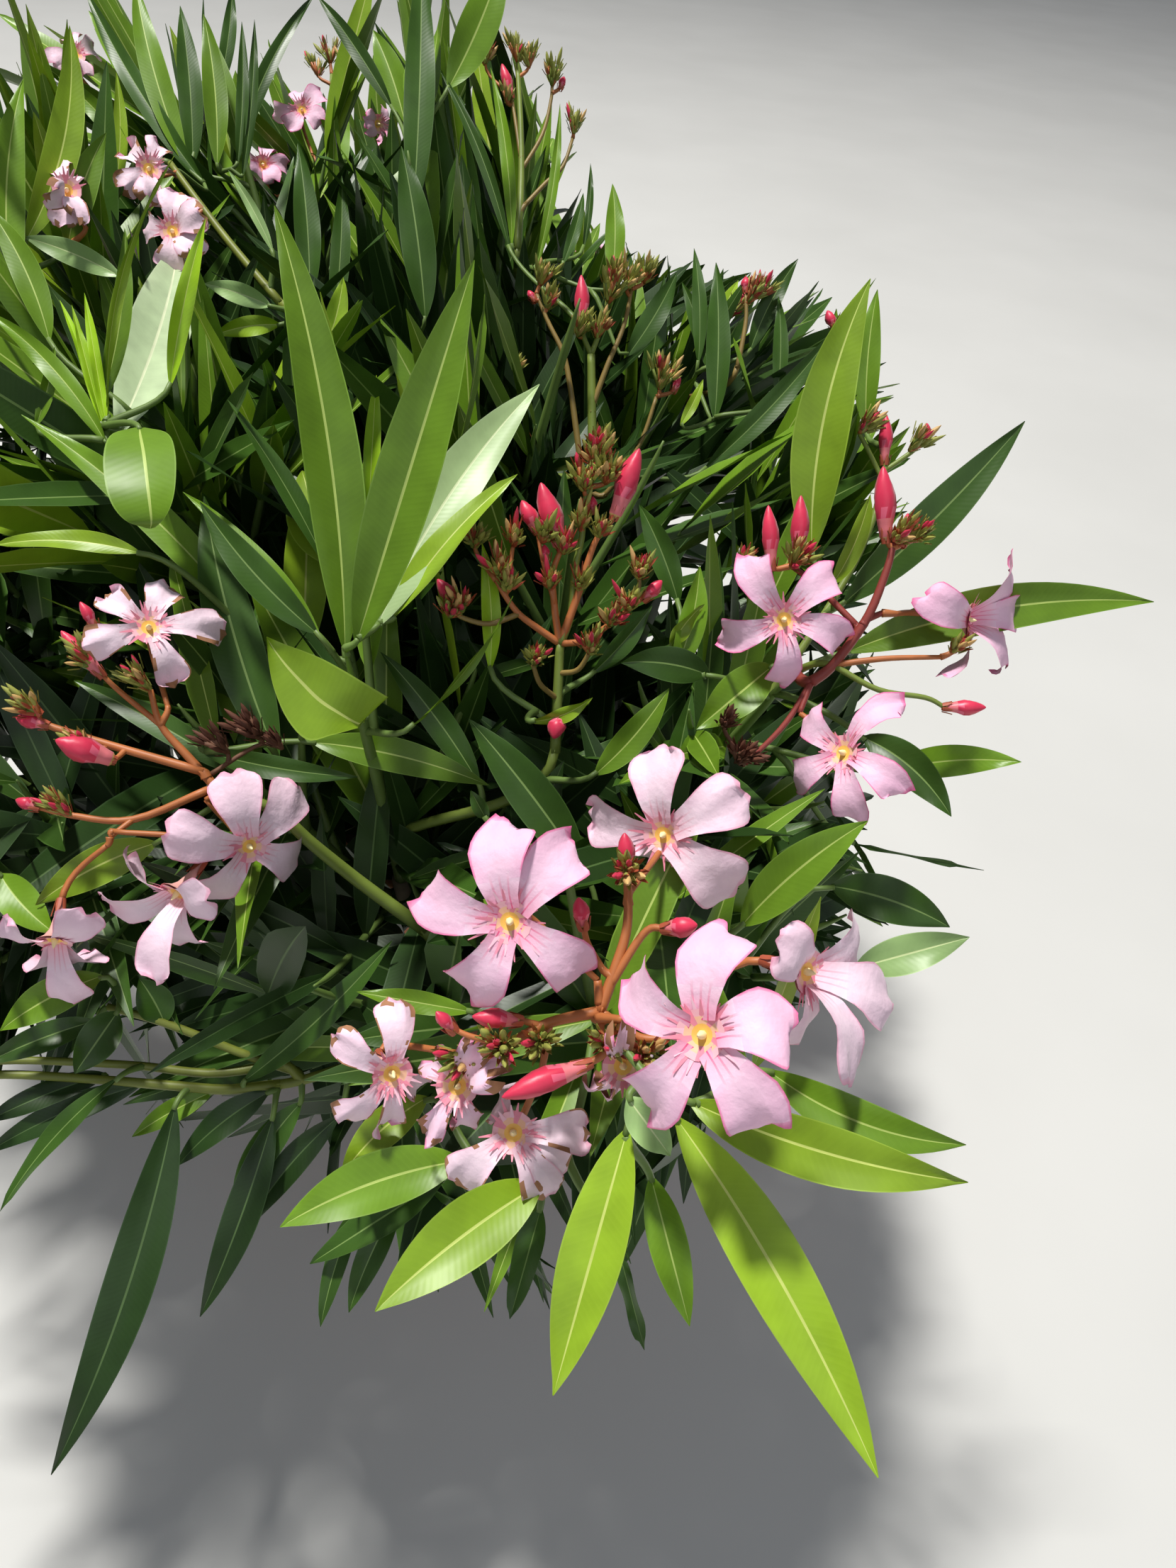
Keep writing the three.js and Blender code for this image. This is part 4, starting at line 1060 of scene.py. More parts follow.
def leaf_grids(paths, normals, widths, folds, waves, shares, across):
    """Blades (leaves, rows, columns, 3) along midribs (leaves, rows, 3)."""
    tangents = unit(np.gradient(paths, axis=1))
    sides = unit(np.cross(tangents, normals[:, None]))
    faces = np.cross(sides, tangents)
    half = widths[:, None] / 2 * leaf_width(shares)[None]
    flat = half[..., None] * across * np.cos(folds)[:, None, None]
    rise = half[..., None] * np.abs(across) * np.sin(folds)[:, None, None]
    phase = waves[:, 1, None, None] + RIPPLE_PACE * shares[None, :, None] + RIPPLE_STEP * np.sign(across)
    ripple = waves[:, 0, None, None] * np.abs(across) ** 2 * np.sin(phase)
    rise = rise + ripple * (half > 1)[..., None]
    rise = rise - (np.abs(across) < RIB_REACH) * RIB_GROOVE
    return (paths[:, :, None] + sides[:, :, None] * flat[..., None]
            + faces[:, :, None] * rise[..., None])


def leaf_places(lengths, seeds, shares, across):
    """Each point's place on its leaf: across, along in millimetres, and the leaf's own number."""
    places = np.zeros((len(lengths), len(shares), len(across), 3))
    places[..., 0] = across
    places[..., 1] = shares[None, :, None] * np.array(lengths)[:, None, None]
    places[..., 2] = np.array(seeds)[:, None, None]
    return places


def leaf_marks(tones, across):
    """The midrib's and the rim's own materials, and the blade's between."""
    outer = np.maximum(np.abs(across[:-1]), np.abs(across[1:]))
    kinds = np.where(outer < RIB_REACH, RIB_LOOK, np.where(outer == 1, RIM_LOOK, 0))
    return np.array([TONE_INDEX[tone] for tone in tones])[:, None, None] + kinds


# Crown

# Where lower shoots leave a limb, as shares of its length
STEM_SHOOTS = (0.2, 0.3, 0.4, 0.5, 0.6, 0.7, 0.8, 0.9)
BOUGH_SHOOTS = (0.4, 0.55, 0.7, 0.85)
MASSES = []


class Mass:
    """One mass of foliage: its main twig, from start to head, and what carries it."""

    def __init__(self, stem, name, head, tilt, bearing, flowers, bough_from, length):
        self.stem = stem
        self.name = name
        self.head = np.array(head, float)
        self.direction = tilted(tilt, bearing)
        self.flowers = flowers
        self.bough_from = bough_from
        self.length = length
        self.start = self.head - self.direction * length
        self.middle = self.start + self.direction * length * SPACE_MIDDLE
        self.random = seeded(FIRST_SEED + SEED_STEP * len(MASSES))
        self.carriers = []
        MASSES.append(self)

    def carry(self, foot, leave, stiffness, shoot_shares):
        """The limb that carries the mass, from its foot to the start of the main twig."""
        handle = np.linalg.norm(self.start - foot) * stiffness
        arrive = self.start - self.direction * handle
        self.limb_path = bezier(foot, foot + leave * handle, arrive, self.start)
        self.shoot_shares = shoot_shares


STEMS = []
for stem_name, ring, foot_bearing, rows in CROWN:
    first_mass, *bough_masses = [Mass(stem_name, *row) for row in rows]
    foot = tilted(90, foot_bearing) * ring
    foot[2] = SOIL_TOP - FOOT_SUNK
    lean = (first_mass.start - foot) * (1, 1, 0) * FOOT_LEAN
    first_mass.carry(foot, unit(UP + lean), STEM_STIFFNESS, STEM_SHOOTS)
    path = first_mass.limb_path
    for mass in bough_masses:
        fork = point_at(path, mass.bough_from)
        spot = int(mass.bough_from * (len(path) - 1))
        tangent = unit(path[spot + 1] - path[spot - 1])
        mass.carry(fork, unit(unit(mass.start - fork) + tangent), BOUGH_STIFFNESS, BOUGH_SHOOTS)
    STEMS.append((stem_name, path, [first_mass, *bough_masses]))
BY_NAME = {mass.name: mass for mass in MASSES}


def by_mass(table):
    """A table's rows, with each mass itself in the place of its name."""
    return [(BY_NAME[name], *row) for name, *row in table]


for mass in MASSES:
    others = [other for other in MASSES if other is not mass]
    mass.away = np.array([unit(mass.middle - other.middle) for other in others])
    halfways = np.array([(mass.middle + other.middle) / 2 for other in others])
    mass.border = np.einsum("ij,ij->i", halfways, mass.away)


def stem_radius(share):
    flare = np.maximum(0, 1 - share / ROOT_FLARE_HEIGHT)
    return mix(STEM_FOOT_RADIUS, STEM_TIP_RADIUS, share) * (1 + (ROOT_FLARE - 1) * flare)


def bough_radius(share):
    return mix(BOUGH_START_RADIUS, BOUGH_TIP_RADIUS, share)


SCAR_GAP = 19.0
SCAR_HALF_HEIGHT = 1.4
SCAR_RISE = 2.6
RING_GAP = 3.0
STEM_SIDES = 22
STEM_RELIEF = 0.32
BOUGH_SIDES = 16
BOUGH_RELIEF = 0.16
BARK_RIDGES = 5
RIDGE_TWIST = 0.03
RIDGE_RISE = 0.25
KNOB_RISE = 0.2


def bark_relief(length, rows, sides, depth, draw):
    """Long ridges, small knobs, and the raised scars of fallen leaves in threes."""
    along = np.linspace(0, length, rows)[:, None]
    turn = full_circle(sides)[None]
    relief = np.zeros((rows, sides))
    for ridge in range(BARK_RIDGES):
        twist = (draw() - 0.5) * RIDGE_TWIST
        relief += np.sin((ridge + 3) * (turn + twist * along) + draw() * FULL_TURN) * RIDGE_RISE
        relief += np.sin(along / (6 + 9 * draw()) + draw() * FULL_TURN + ridge * turn) * KNOB_RISE
    scars = np.exp(-((along % SCAR_GAP - SCAR_GAP / 2) / SCAR_HALF_HEIGHT) ** 2)
    third = np.cos(3 * turn + math.pi * (along // SCAR_GAP)) * 0.5 + 0.5
    return depth * (relief + scars * third * SCAR_RISE)


def limb(batch, path, radius_at, sides, depth, draw):
    """A stem or a bough in its bark."""
    length = np.linalg.norm(np.diff(path, axis=0), axis=1).sum()
    rows = max(6, int(length / RING_GAP))
    shares = np.linspace(0, 1, rows)
    points = np.array([point_at(path, share) for share in shares])
    relief = bark_relief(length, rows, sides, depth, draw)
    relief[-2:] = 0
    tube(batch, points, radius_at(shares), sides, 0, relief)


for stem_name, path, stem_masses in STEMS:
    draw = seeded(FIRST_SEED + len(stem_name) * SEED_STEP + BARK_SEED)
    bark = Batch(f"bark_{stem_name}", "bark", [BARK], [f"stem_{stem_name}"])
    limb(bark, path, stem_radius, STEM_SIDES, STEM_RELIEF, draw)
    bark.build()
    nodes = [f"bough_{mass.name}" for mass in stem_masses[1:]]
    boughs = Batch(f"boughs_{stem_name}", "green_wood", [GREEN_BARK], nodes)
    for mass in stem_masses[1:]:
        limb(boughs, mass.limb_path, bough_radius, BOUGH_SIDES, BOUGH_RELIEF, draw)
    boughs.build()

# Foliage pieces, one of each kind for a stem. The leaves stand for the stem's masses.
BATCHES = {}
for kind, slot, looks in [("leaves", "leaf", LEAF_LOOKS), ("twigs", "green_wood", STALK_LOOKS),
                          ("flowers", "leaf", PETAL_LOOKS), ("buds", "leaf", BUD_LOOKS)]:
    for stem_name, _, stem_masses in STEMS:
        nodes = [f"foliage_{mass.name}" for mass in stem_masses if kind == "leaves"]
        BATCHES[kind, stem_name] = Batch(f"{kind}_{stem_name}", slot, looks, nodes)


def twig(mass, path, radii, sides, look):
    tube(BATCHES["twigs", mass.stem], path, radii, sides, STALK[look])


# What the camera sees of the pieces placed by pixel, so that leaves by rule stay behind them
CELL = 12.0
CELLS_ACROSS = int(PHOTO_WIDTH / CELL) + 1
CELLS_DOWN = int(PHOTO_HEIGHT / CELL) + 1
IN_FRONT_BY = 3.0
TWIG_IN_FRONT = 0.1
nearest = np.full((CELLS_DOWN, CELLS_ACROSS), np.inf)


def cells_of(points):
    """Each point's cell in the photograph, its depth, and whether the frame shows it or cuts it off."""
    x, y, depth = to_pixels(points)
    column = (x / CELL).astype(int)
    row = (y / CELL).astype(int)
    inside = (x >= 0) & (y >= 0) & (column < CELLS_ACROSS) & (row < CELLS_DOWN) & (depth > 10)
    cut_off = (x < 0) | (y < 0)
    return row, column, depth, inside, cut_off


def note_seen(grid):
    """Notes how near a piece placed by pixel comes. Its grid is (rows, columns, 3)."""
    rows, columns, _ = grid.shape
    fine_rows = np.linspace(0, rows - 1, rows * 5)
    fine_columns = np.linspace(0, columns - 1, columns * 3)
    r0 = np.minimum(fine_rows.astype(int), rows - 2)
    c0 = np.minimum(fine_columns.astype(int), columns - 2)
    tr = (fine_rows - r0)[:, None, None]
    tc = (fine_columns - c0)[None, :, None]
    upper = grid[r0][:, c0] * (1 - tc) + grid[r0][:, c0 + 1] * tc
    lower = grid[r0 + 1][:, c0] * (1 - tc) + grid[r0 + 1][:, c0 + 1] * tc
    fine = upper * (1 - tr) + lower * tr
    row, column, depth, inside, _ = cells_of(fine.reshape(-1, 3))
    np.minimum.at(nearest, (row[inside], column[inside]), depth[inside])


def in_outline(x, y, corners):
    """Which points are inside an outline in the photograph."""
    inside = np.zeros(x.shape, bool)
    for (x0, y0), (x1, y1) in zip(corners, corners[1:] + corners[:1]):
        if y0 == y1:
            continue
        crosses = ((y0 > y) != (y1 > y)) & (x < (x1 - x0) * (y - y0) / (y1 - y0) + x0)
        inside ^= crosses
    return inside


cell_y, cell_x = np.meshgrid((np.arange(CELLS_DOWN) + 0.5) * CELL,
                             (np.arange(CELLS_ACROSS) + 0.5) * CELL, indexing="ij")
plant_cells = in_outline(cell_x, cell_y, PHOTO_OUTLINE)
window_depths = np.zeros((CELLS_DOWN, CELLS_ACROSS))
for window_depth, corners in CLEAR_WINDOWS:
    window_depths[in_outline(cell_x, cell_y, corners)] = window_depth


def keeps_clear(points, in_front=0.0):
    """Do points stay inside the photograph's outline and behind what it shows in front?"""
    row, column, depth, inside, cut_off = cells_of(points)
    if not (inside | cut_off).all():
        return False
    row, column, depth = row[inside], column[inside], depth[inside]
    if not plant_cells[row, column].all() or (depth < window_depths[row, column]).any():
        return False
    seen = nearest[row, column]
    covers = np.isfinite(seen) & (depth < seen + IN_FRONT_BY)
    return covers.sum() <= in_front * len(points)


# Leaves placed by pixel

# The widths read in the photograph take in the blur and the shade at a leaf's edges
PIXEL_WIDTH_SHARE = 0.84
LINK_RADIUS = 1.0
LINK_MOST_RADIUS = 2.2
LINK_SIDES = 6
LINK_REACH = 1.5
LINK_BEND = 0.28
LONG_LINK = 50.0
# A link's length counts more where it turns back, leaves its carrier steeply or comes from in front
LINK_COST = 2.5
CARRIER_SHARE = 0.5
BEHIND_SHARE = 0.5
SHAPED_RISE = 1.2
WOODY_LOOKS = {"twig_green", "stalk_green", "stalk_twig"}
woody_carriers = []


def note_carrier(mass, path, look="twig_green"):
    """Remembers a twig or stalk that can carry more pieces."""
    spots = np.concatenate([path, unit(np.gradient(path, axis=0))], axis=1)
    mass.carriers.append(spots)
    if look in WOODY_LOOKS:
        woody_carriers.append(spots)


def link(mass, point, toward, look="twig_green", radius=LINK_RADIUS):
    """A shoot up to a point from the twig, limb or stalk that lies best behind it."""
    spots = np.concatenate(woody_carriers if look in WOODY_LOOKS else mass.carriers)
    offsets = point - spots[:, :3]
    distances = np.linalg.norm(offsets, axis=1)
    if distances.min() < LINK_REACH:
        return
    toward = unit(toward)
    ahead = offsets @ toward / distances
    along = np.einsum("ij,ij->i", offsets, spots[:, 3:]) / distances
    behind = offsets @ unit(CAMERA_AT - point) / distances
    cost = LINK_COST - ahead - CARRIER_SHARE * along - BEHIND_SHARE * behind
    best = int(np.argmin(distances * cost))
    root = spots[best, :3]
    bend = distances[best] * LINK_BEND
    start_way = unit(unit(point - root) * 1.6 + spots[best, 3:])
    rows = 8 if distances[best] < LONG_LINK else 14
    path = bezier(root, root + start_way * bend, point - toward * bend, point + toward * 1.5, rows)
    radii = np.linspace(min(radius * 1.5, LINK_MOST_RADIUS), radius, rows)
    twig(mass, path, radii, LINK_SIDES, look)
    note_carrier(mass, path, look)


for mass in MASSES:
    note_carrier(mass, mass.limb_path[len(mass.limb_path) // 3:])
    note_carrier(mass, smooth_path([mass.start, mass.head], 40))

for mass, start_radius, end_radius, colour, points in by_mass(STALKS):
    path = smooth_path([at_pixel(point) for point in points], 4 * len(points))
    look = f"stalk_{colour}"
    twig(mass, path, np.linspace(start_radius, end_radius, len(path)), 8, look)
    link(mass, path[0], path[1] - path[0], look, start_radius)
    note_carrier(mass, path, look)

shape_draw = seeded(SHAPE_SEED)
for mass, base, tip, width, bow, arch, roll, tone in by_mass(HERO_LEAVES):
    start, end = at_pixel(base), at_pixel(tip)
    axis, length = way_and_length(start, end)
    facing = unit(CAMERA_AT - (start + end) / 2)
    facing = unit(facing - axis * (facing @ axis))
    beside = np.cross(axis, facing)
    swing = math.radians(roll)
    normal = facing * math.cos(swing) + beside * math.sin(swing)
    t = FINE_SHARES[:, None]
    bulge = 4 * t * (1 - t)
    midrib = start + (end - start) * t + beside * (bow * length) * bulge
    midrib = midrib + facing * arch * length * bulge
    folds = np.radians([ranged(PLACED_FOLD, shape_draw())])
    waves = np.array([[ranged(PLACED_WAVE, shape_draw()), FULL_TURN * shape_draw()]])
    widths = np.array([width * PIXEL_WIDTH_SHARE])
    grid = leaf_grids(midrib[None], normal[None], widths, folds, waves, FINE_SHARES, FINE_ACROSS)
    places = leaf_places([length], [shape_draw()], FINE_SHARES, FINE_ACROSS)
    BATCHES["leaves", mass.stem].grids(grid, leaf_marks([tone], FINE_ACROSS), places)
    note_seen(grid[0])
    link(mass, start, axis)

for mass, tone, rows in by_mass(SHAPED_LEAVES):
    lines = []
    for side in (1, 2, 3):
        edge = [at_pixel((*row[side], row[0] + SHAPED_RISE * (side == 2))) for row in rows]
        lines.append(smooth_path(edge, 4 * len(rows)))
    left, midrib, right = lines
    ends = np.where(FINE_ACROSS[None, :, None] < 0, left[:, None], right[:, None])
    grid = midrib[:, None] + (ends - midrib[:, None]) * np.abs(FINE_ACROSS)[None, :, None]
    length = np.linalg.norm(np.diff(midrib, axis=0), axis=1).sum()
    places = leaf_places([length], [0.5], np.linspace(0, 1, len(grid)), FINE_ACROSS)
    BATCHES["leaves", mass.stem].grids(grid[None], leaf_marks([tone], FINE_ACROSS), places)
    note_seen(grid)
    link(mass, midrib[0], midrib[2] - midrib[0])


# Flowers

PETAL_ACROSS = np.array([-1.0, -0.92, -0.72, -0.46, -0.35, -0.055, 0.055, 0.35, 0.46, 0.72, 0.92, 1.0])
PETAL_SHARES = np.array([0.0, 0.06, 0.13, 0.22, 0.3, 0.38, 0.5, 0.62, 0.73, 0.82, 0.89, 0.95, 1.0])
# Strips of a petal that are thinner than this and lie near its middle are streaks
STREAK_WIDTH = 0.115
STREAKS_WITHIN = 0.5
# A petal's two edges, as shares of its width: it comes to a point on one side, is blunt on the other
EDGE_AT = [0.0, 0.15, 0.35, 0.6, 0.8, 0.93, 1.0]
POINTED_EDGE = [0.19, 0.22, 0.29, 0.34, 0.28, 0.14, 0.02]
ROUND_EDGE = [0.20, 0.23, 0.31, 0.44, 0.50, 0.46, 0.25]
BLUNT_EDGE = [0.19, 0.23, 0.34, 0.49, 0.58, 0.52, 0.30]
PETAL_WIDTH = 19.0
PETAL_TWIST = 0.15
# A petal's tip: how far it slants to its point or rounds off, and how ragged it is
TIP_SLANT = 0.13
TIP_ROUNDING = 0.05
TIP_RAGGED = 0.025
# A petal's face: how far it arches along, cups across and frills at its edge
PETAL_ARCH = 0.15
PETAL_CUP = 0.06
EDGE_FRILL = 0.7
THROAT_RADIUS = 3.6
THROAT_SIDES = 15
TUBE_LENGTH = 15.0
FLOWER_RADIUS = 26.0
CORONA_FRINGES = 5
FRINGE_TURN = 0.27
# Ranges: how far a petal curls back, its share of the flower's waves and width, and a fringe's size
CURL = (0.05, 0.14)
WAVE_SHARE = (0.6, 0.8)
WIDTH_SHARE = (0.9, 0.2)
FRINGE_LENGTH = (3.4, 4.2)
FRINGE_RISE = (1.0, 1.4)
FRINGE_HALF_WIDTH = 0.7
# How much pinker or paler than its age a flower may be, and how far its petals' twists vary
PINK_SPREAD = 0.16
TWIST_SPREAD = 0.3
# Sepals: how many, and their length and width under a flower, a bud and a small bud
SEPALS = 5
FLOWER_SEPAL = (6.5, 1.9)
BUD_SEPAL_LENGTH = 3.5
BUD_SEPAL_SHARE = 0.22
BUD_SEPAL_WIDTH = 1.7
SMALL_SEPALS = 4
SMALL_SEPAL_WIDTH = 1.3
SEPAL_TURN = 0.4
FLOWER_STALK_RADII = (0.95, 1.15)
# A flower's age: how wide, pink and wavy its petals are, and how far dry edges reach in
AGES = {
    "open": (1.0, 0.86, 1.3, 0.0),
    "round": (1.0, 0.38, 1.6, 0.0),
    "old": (0.85, 0.28, 2.4, 0.12),
    "spent": (0.75, 0.62, 3.6, 0.3),
}


def petal_edge(share, across):
    """How near a place on a petal is to its edge: 1 on the edge itself."""
    return np.maximum(np.abs(across) * np.clip(share / 0.35, 0, 1), share ** 1.6)


def petal_marks():
    """The look of each face of a petal."""
    share = ((PETAL_SHARES[:-1] + PETAL_SHARES[1:]) / 2)[:, None]
    across = np.abs(PETAL_ACROSS[:-1] + PETAL_ACROSS[1:]) / 2
    streaks = (np.diff(PETAL_ACROSS) < STREAK_WIDTH) & (across < STREAKS_WITHIN)
    marks = np.where(petal_edge(share, across) > RIM_FROM, PETAL["petal_rim"], PETAL["petal_pale"])
    marks = np.where(share < FOOT_TO, PETAL["petal_foot"], marks)
    return np.where(streaks & (share < STREAK_TO), PETAL["petal_streak"], marks)


PETAL_MARKS = petal_marks()


def petal(batch, root, tip, normal, width, curl, wave, phase, dry, seen, pinkness, pointed):
    """One petal, curled back at its tip and waved. A pointed one is blunt on its other side."""
    axis, length = way_and_length(root, tip)
    side = unit(np.cross(axis, normal))
    face = np.cross(side, axis)
    u = PETAL_SHARES[:, None]
    v = PETAL_ACROSS[None, :]
    left = -np.interp(u, EDGE_AT, POINTED_EDGE if pointed else ROUND_EDGE) * width
    right = np.interp(u, EDGE_AT, BLUNT_EDGE if pointed else ROUND_EDGE) * width
    if pointed:
        shortened = TIP_SLANT * (1 + v) * u ** 4
    else:
        shortened = TIP_ROUNDING * v ** 2 * u ** 4
    reach = length * (u - shortened - TIP_RAGGED * np.sin(5.2 * v + phase) * u ** 8)
    drift = left + (right - left) * (v + 1) / 2
    lift = length * (PETAL_ARCH * np.sin(math.pi * u) - curl * u ** 3)
    lift = lift + width * PETAL_CUP * v ** 2 * (1 - u)
    ripple = np.sin(2.6 * v + phase) * u ** 2 + 0.5 * np.sin(6 * v + 2 * phase + 5 * u) * u ** 3
    lift = lift + wave * ripple + EDGE_FRILL * np.abs(v) ** 3 * np.sin(14 * u + phase + v) * u
    grid = root + axis * reach[..., None] + side * drift[..., None] + face * lift[..., None]
    marks = PETAL_MARKS
    if dry:
        edge = petal_edge(u, v)[1:, 1:]
        spots = np.sin(9 * u[1:] + 5 * v[:, 1:] + phase) > 0.2
        marks = np.where((edge > 1 - dry) & spots, PETAL["petal_dry"], PETAL_MARKS)
    places = np.zeros(grid.shape)
    places[..., 0] = petal_edge(u, v)
    places[..., 1] = u
    places[..., 2] = pinkness
    batch.grids(grid[None], marks[None], places[None])
    if seen:
        note_seen(grid)


def throat(batch, centre, normal):
    """A flower's funnel with its guiding lines, the tube outside and the cone of anthers."""
    outward = outward_ways(normal, full_circle(THROAT_SIDES))
    lined = np.arange(THROAT_SIDES) % 3 == 0
    radii = [THROAT_RADIUS + 2.2, THROAT_RADIUS + 0.6, THROAT_RADIUS - 1.1, 1.4, 0.3]
    inner = rings_round(centre, normal, outward, [1.0, 0.5, -0.1, -0.5, -0.7], radii)
    deep = np.full(THROAT_SIDES, PETAL["throat_deep"])
    marks = np.stack([np.where(lined, PETAL["throat_line"], PETAL["throat_rim"]),
                      np.where(lined, PETAL["throat_line"], PETAL["throat"]), deep, deep])
    batch.grids(inner[None], marks[None], closed=True)
    radii = [1.1, 1.5, 2.3, 3.6, THROAT_RADIUS + 2.3]
    outer = rings_round(centre, normal, outward, [-TUBE_LENGTH, -8.0, -3.6, -1.4, 0.4], radii)
    batch.grids(outer[None], PETAL["petal_tube"], closed=True)
    depths = -0.6 + 3.4 * np.array([0.0, 0.2, 0.5, 0.8, 1.0])
    cone = rings_round(centre, normal, outward[::2], depths, [1.0, 1.1, 0.8, 0.45, 0.1])
    batch.grids(cone[None], PETAL["anthers"], closed=True)


def corona(batch, centre, normal, flat, across, fullness, draw):
    """Narrow fringes at a petal's foot, pale and deep pink by turns."""
    shares = as_column([0.0, 0.5, 1.0])
    for fringe in range(CORONA_FRINGES):
        turn = (fringe - (CORONA_FRINGES - 1) / 2) * FRINGE_TURN
        lean = flat * math.cos(turn) + across * math.sin(turn)
        foot = centre + lean * (THROAT_RADIUS + 0.1) + normal * 0.3
        length = ranged(FRINGE_LENGTH, draw()) * min(1.0, fullness)
        peak = foot + normal * ranged(FRINGE_RISE, draw()) + lean * length
        half = np.cross(lean, normal) * FRINGE_HALF_WIDTH * (1 - 0.8 * shares)
        spine = foot + (peak - foot) * shares
        strip = np.stack([spine - half, spine + half], axis=1)
        batch.grids(strip[None], PETAL["throat_line" if fringe % 2 == 0 else "corona"])


def flower(mass, centre, normal, tips, joint, draw, age="open", seen=False, fullness=1.0):
    """An open flower: throat, corona, five petals, sepals and its own stalk."""
    batch = BATCHES["flowers", mass.stem]
    throat(batch, centre, normal)
    width_share, pinkness, waviness, dry = AGES[age]
    width = PETAL_WIDTH * fullness * width_share
    pinkness += PINK_SPREAD * (draw() - 0.5)
    for tip in tips:
        way = tip - centre
        flat = unit(way - normal * (way @ normal))
        root = centre + flat * THROAT_RADIUS * 0.9 + normal * 0.2
        curl = ranged(CURL, draw())
        across = np.cross(normal, flat)
        own = unit(normal + across * (PETAL_TWIST + (draw() - 0.5) * TWIST_SPREAD))
        wave = waviness * ranged(WAVE_SHARE, draw())
        broad = width * ranged(WIDTH_SHARE, draw())
        phase = draw() * FULL_TURN
        petal(batch, root, tip, own, broad, curl, wave, phase, dry, seen, pinkness, age == "open")
        corona(batch, centre, normal, flat, across, fullness, draw)
    foot = centre - normal * TUBE_LENGTH
    sepals(mass, foot, normal, SEPALS, *FLOWER_SEPAL, "sepal_red")
    back = np.linalg.norm(foot - joint) * 0.45
    path = bezier(joint, joint + unit(foot - joint) * back * 0.4, foot - normal * back, foot + normal, 8)
    twig(mass, path, np.linspace(*FLOWER_STALK_RADII, 8), 6, "stalk_red")


def sepals(mass, foot, normal, count, length, width, look):
    """Narrow pointed sepals that hold the foot of a flower or a bud."""
    shares = as_column([0.0, 0.4, 0.75, 1.0])
    half = width / 2 * as_column([0.9, 1.0, 0.6, 0.06])
    for outward in outward_ways(normal, full_circle(count) + SEPAL_TURN):
        across = np.cross(normal, outward)
        spine = foot + normal * length * shares + outward * (1.3 + 0.9 * shares)
        strip = np.stack([spine - across * half, spine + outward * 0.35, spine + across * half], axis=1)
        BATCHES["buds", mass.stem].grids(strip[None], BUD[look])


BUD_SHARES = np.array([0.0, 0.05, 0.16, 0.3, 0.45, 0.6, 0.75, 0.88, 0.96, 1.0])
BUD_RADII = np.array([0.35, 0.55, 0.62, 0.78, 1.0, 0.98, 0.78, 0.48, 0.25, 0.06])
BUD_SIDES = 10
BUD_TWIST = 1.5


def bud(mass, base, tip, radius):
    """A closed bud: petals rolled round each other, pale at the foot, held by sepals."""
    axis, length = way_and_length(base, tip)
    turn = full_circle(BUD_SIDES)
    outward = outward_ways(axis, turn[None] + BUD_TWIST * BUD_SHARES[:, None])
    ridge = 1 + 0.14 * np.abs(np.sin(2.5 * turn))[None] - 0.05
    rings = rings_round(base, axis, outward, length * BUD_SHARES, radius * BUD_RADII[:, None] * ridge)
    marks = np.full((len(BUD_SHARES) - 1, BUD_SIDES), BUD["bud_red"])
    marks[0] = BUD["bud_base"]
    marks[1:3] = BUD["bud_blush"]
    marks[3, ::2] = BUD["bud_pink"]
    BATCHES["buds", mass.stem].grids(rings[None], marks[None], closed=True)
    sepal_length = max(BUD_SEPAL_LENGTH, length * BUD_SEPAL_SHARE)
    sepals(mass, base - axis, axis, SEPALS, sepal_length, BUD_SEPAL_WIDTH, "sepal_red")


def small_bud(mass, root, way, length, radius, look):
    """A closed bud too small for petals to show on it."""
    outward = outward_ways(way, full_circle(6))
    depths = length * np.array([0.0, 0.2, 0.5, 0.8, 1.0])
    rings = rings_round(root, way, outward, depths, np.array([0.5, 0.9, 1.0, 0.6, 0.1]) * radius)
    BATCHES["buds", mass.stem].grids(rings[None], BUD[look], closed=True)


# A knot has more buds than its count. Their stalks and looks are dealt out by these shares.
BUDS_PER_COUNT = 1.5
KNOT_STALK_RADIUS = 0.85
RED_STALK_SHARE = 0.6
BASE_LOOK_SHARE = 0.4
RED_SEPALS_PER_RED_BUD = 1.6
# Ranges in a knot of small buds: lean and turn in degrees, distance as a share of the knot, and sizes
KNOT_TURN = 40
KNOT_LEAN = (8, 40)
KNOT_REACH = (0.1, 1.0)
SMALL_BUD_LENGTH = (4.0, 5.0)
SMALL_BUD_RADIUS = (0.8, 0.45)
SMALL_SEPAL_LENGTH = (3.4, 2.4)
GREEN_BUD_MASSES = {"bud_back", "back_mid", "back", "right_back"}
RED_SHARE = 0.25
RED_SHARE_AT_BACK = 0.08


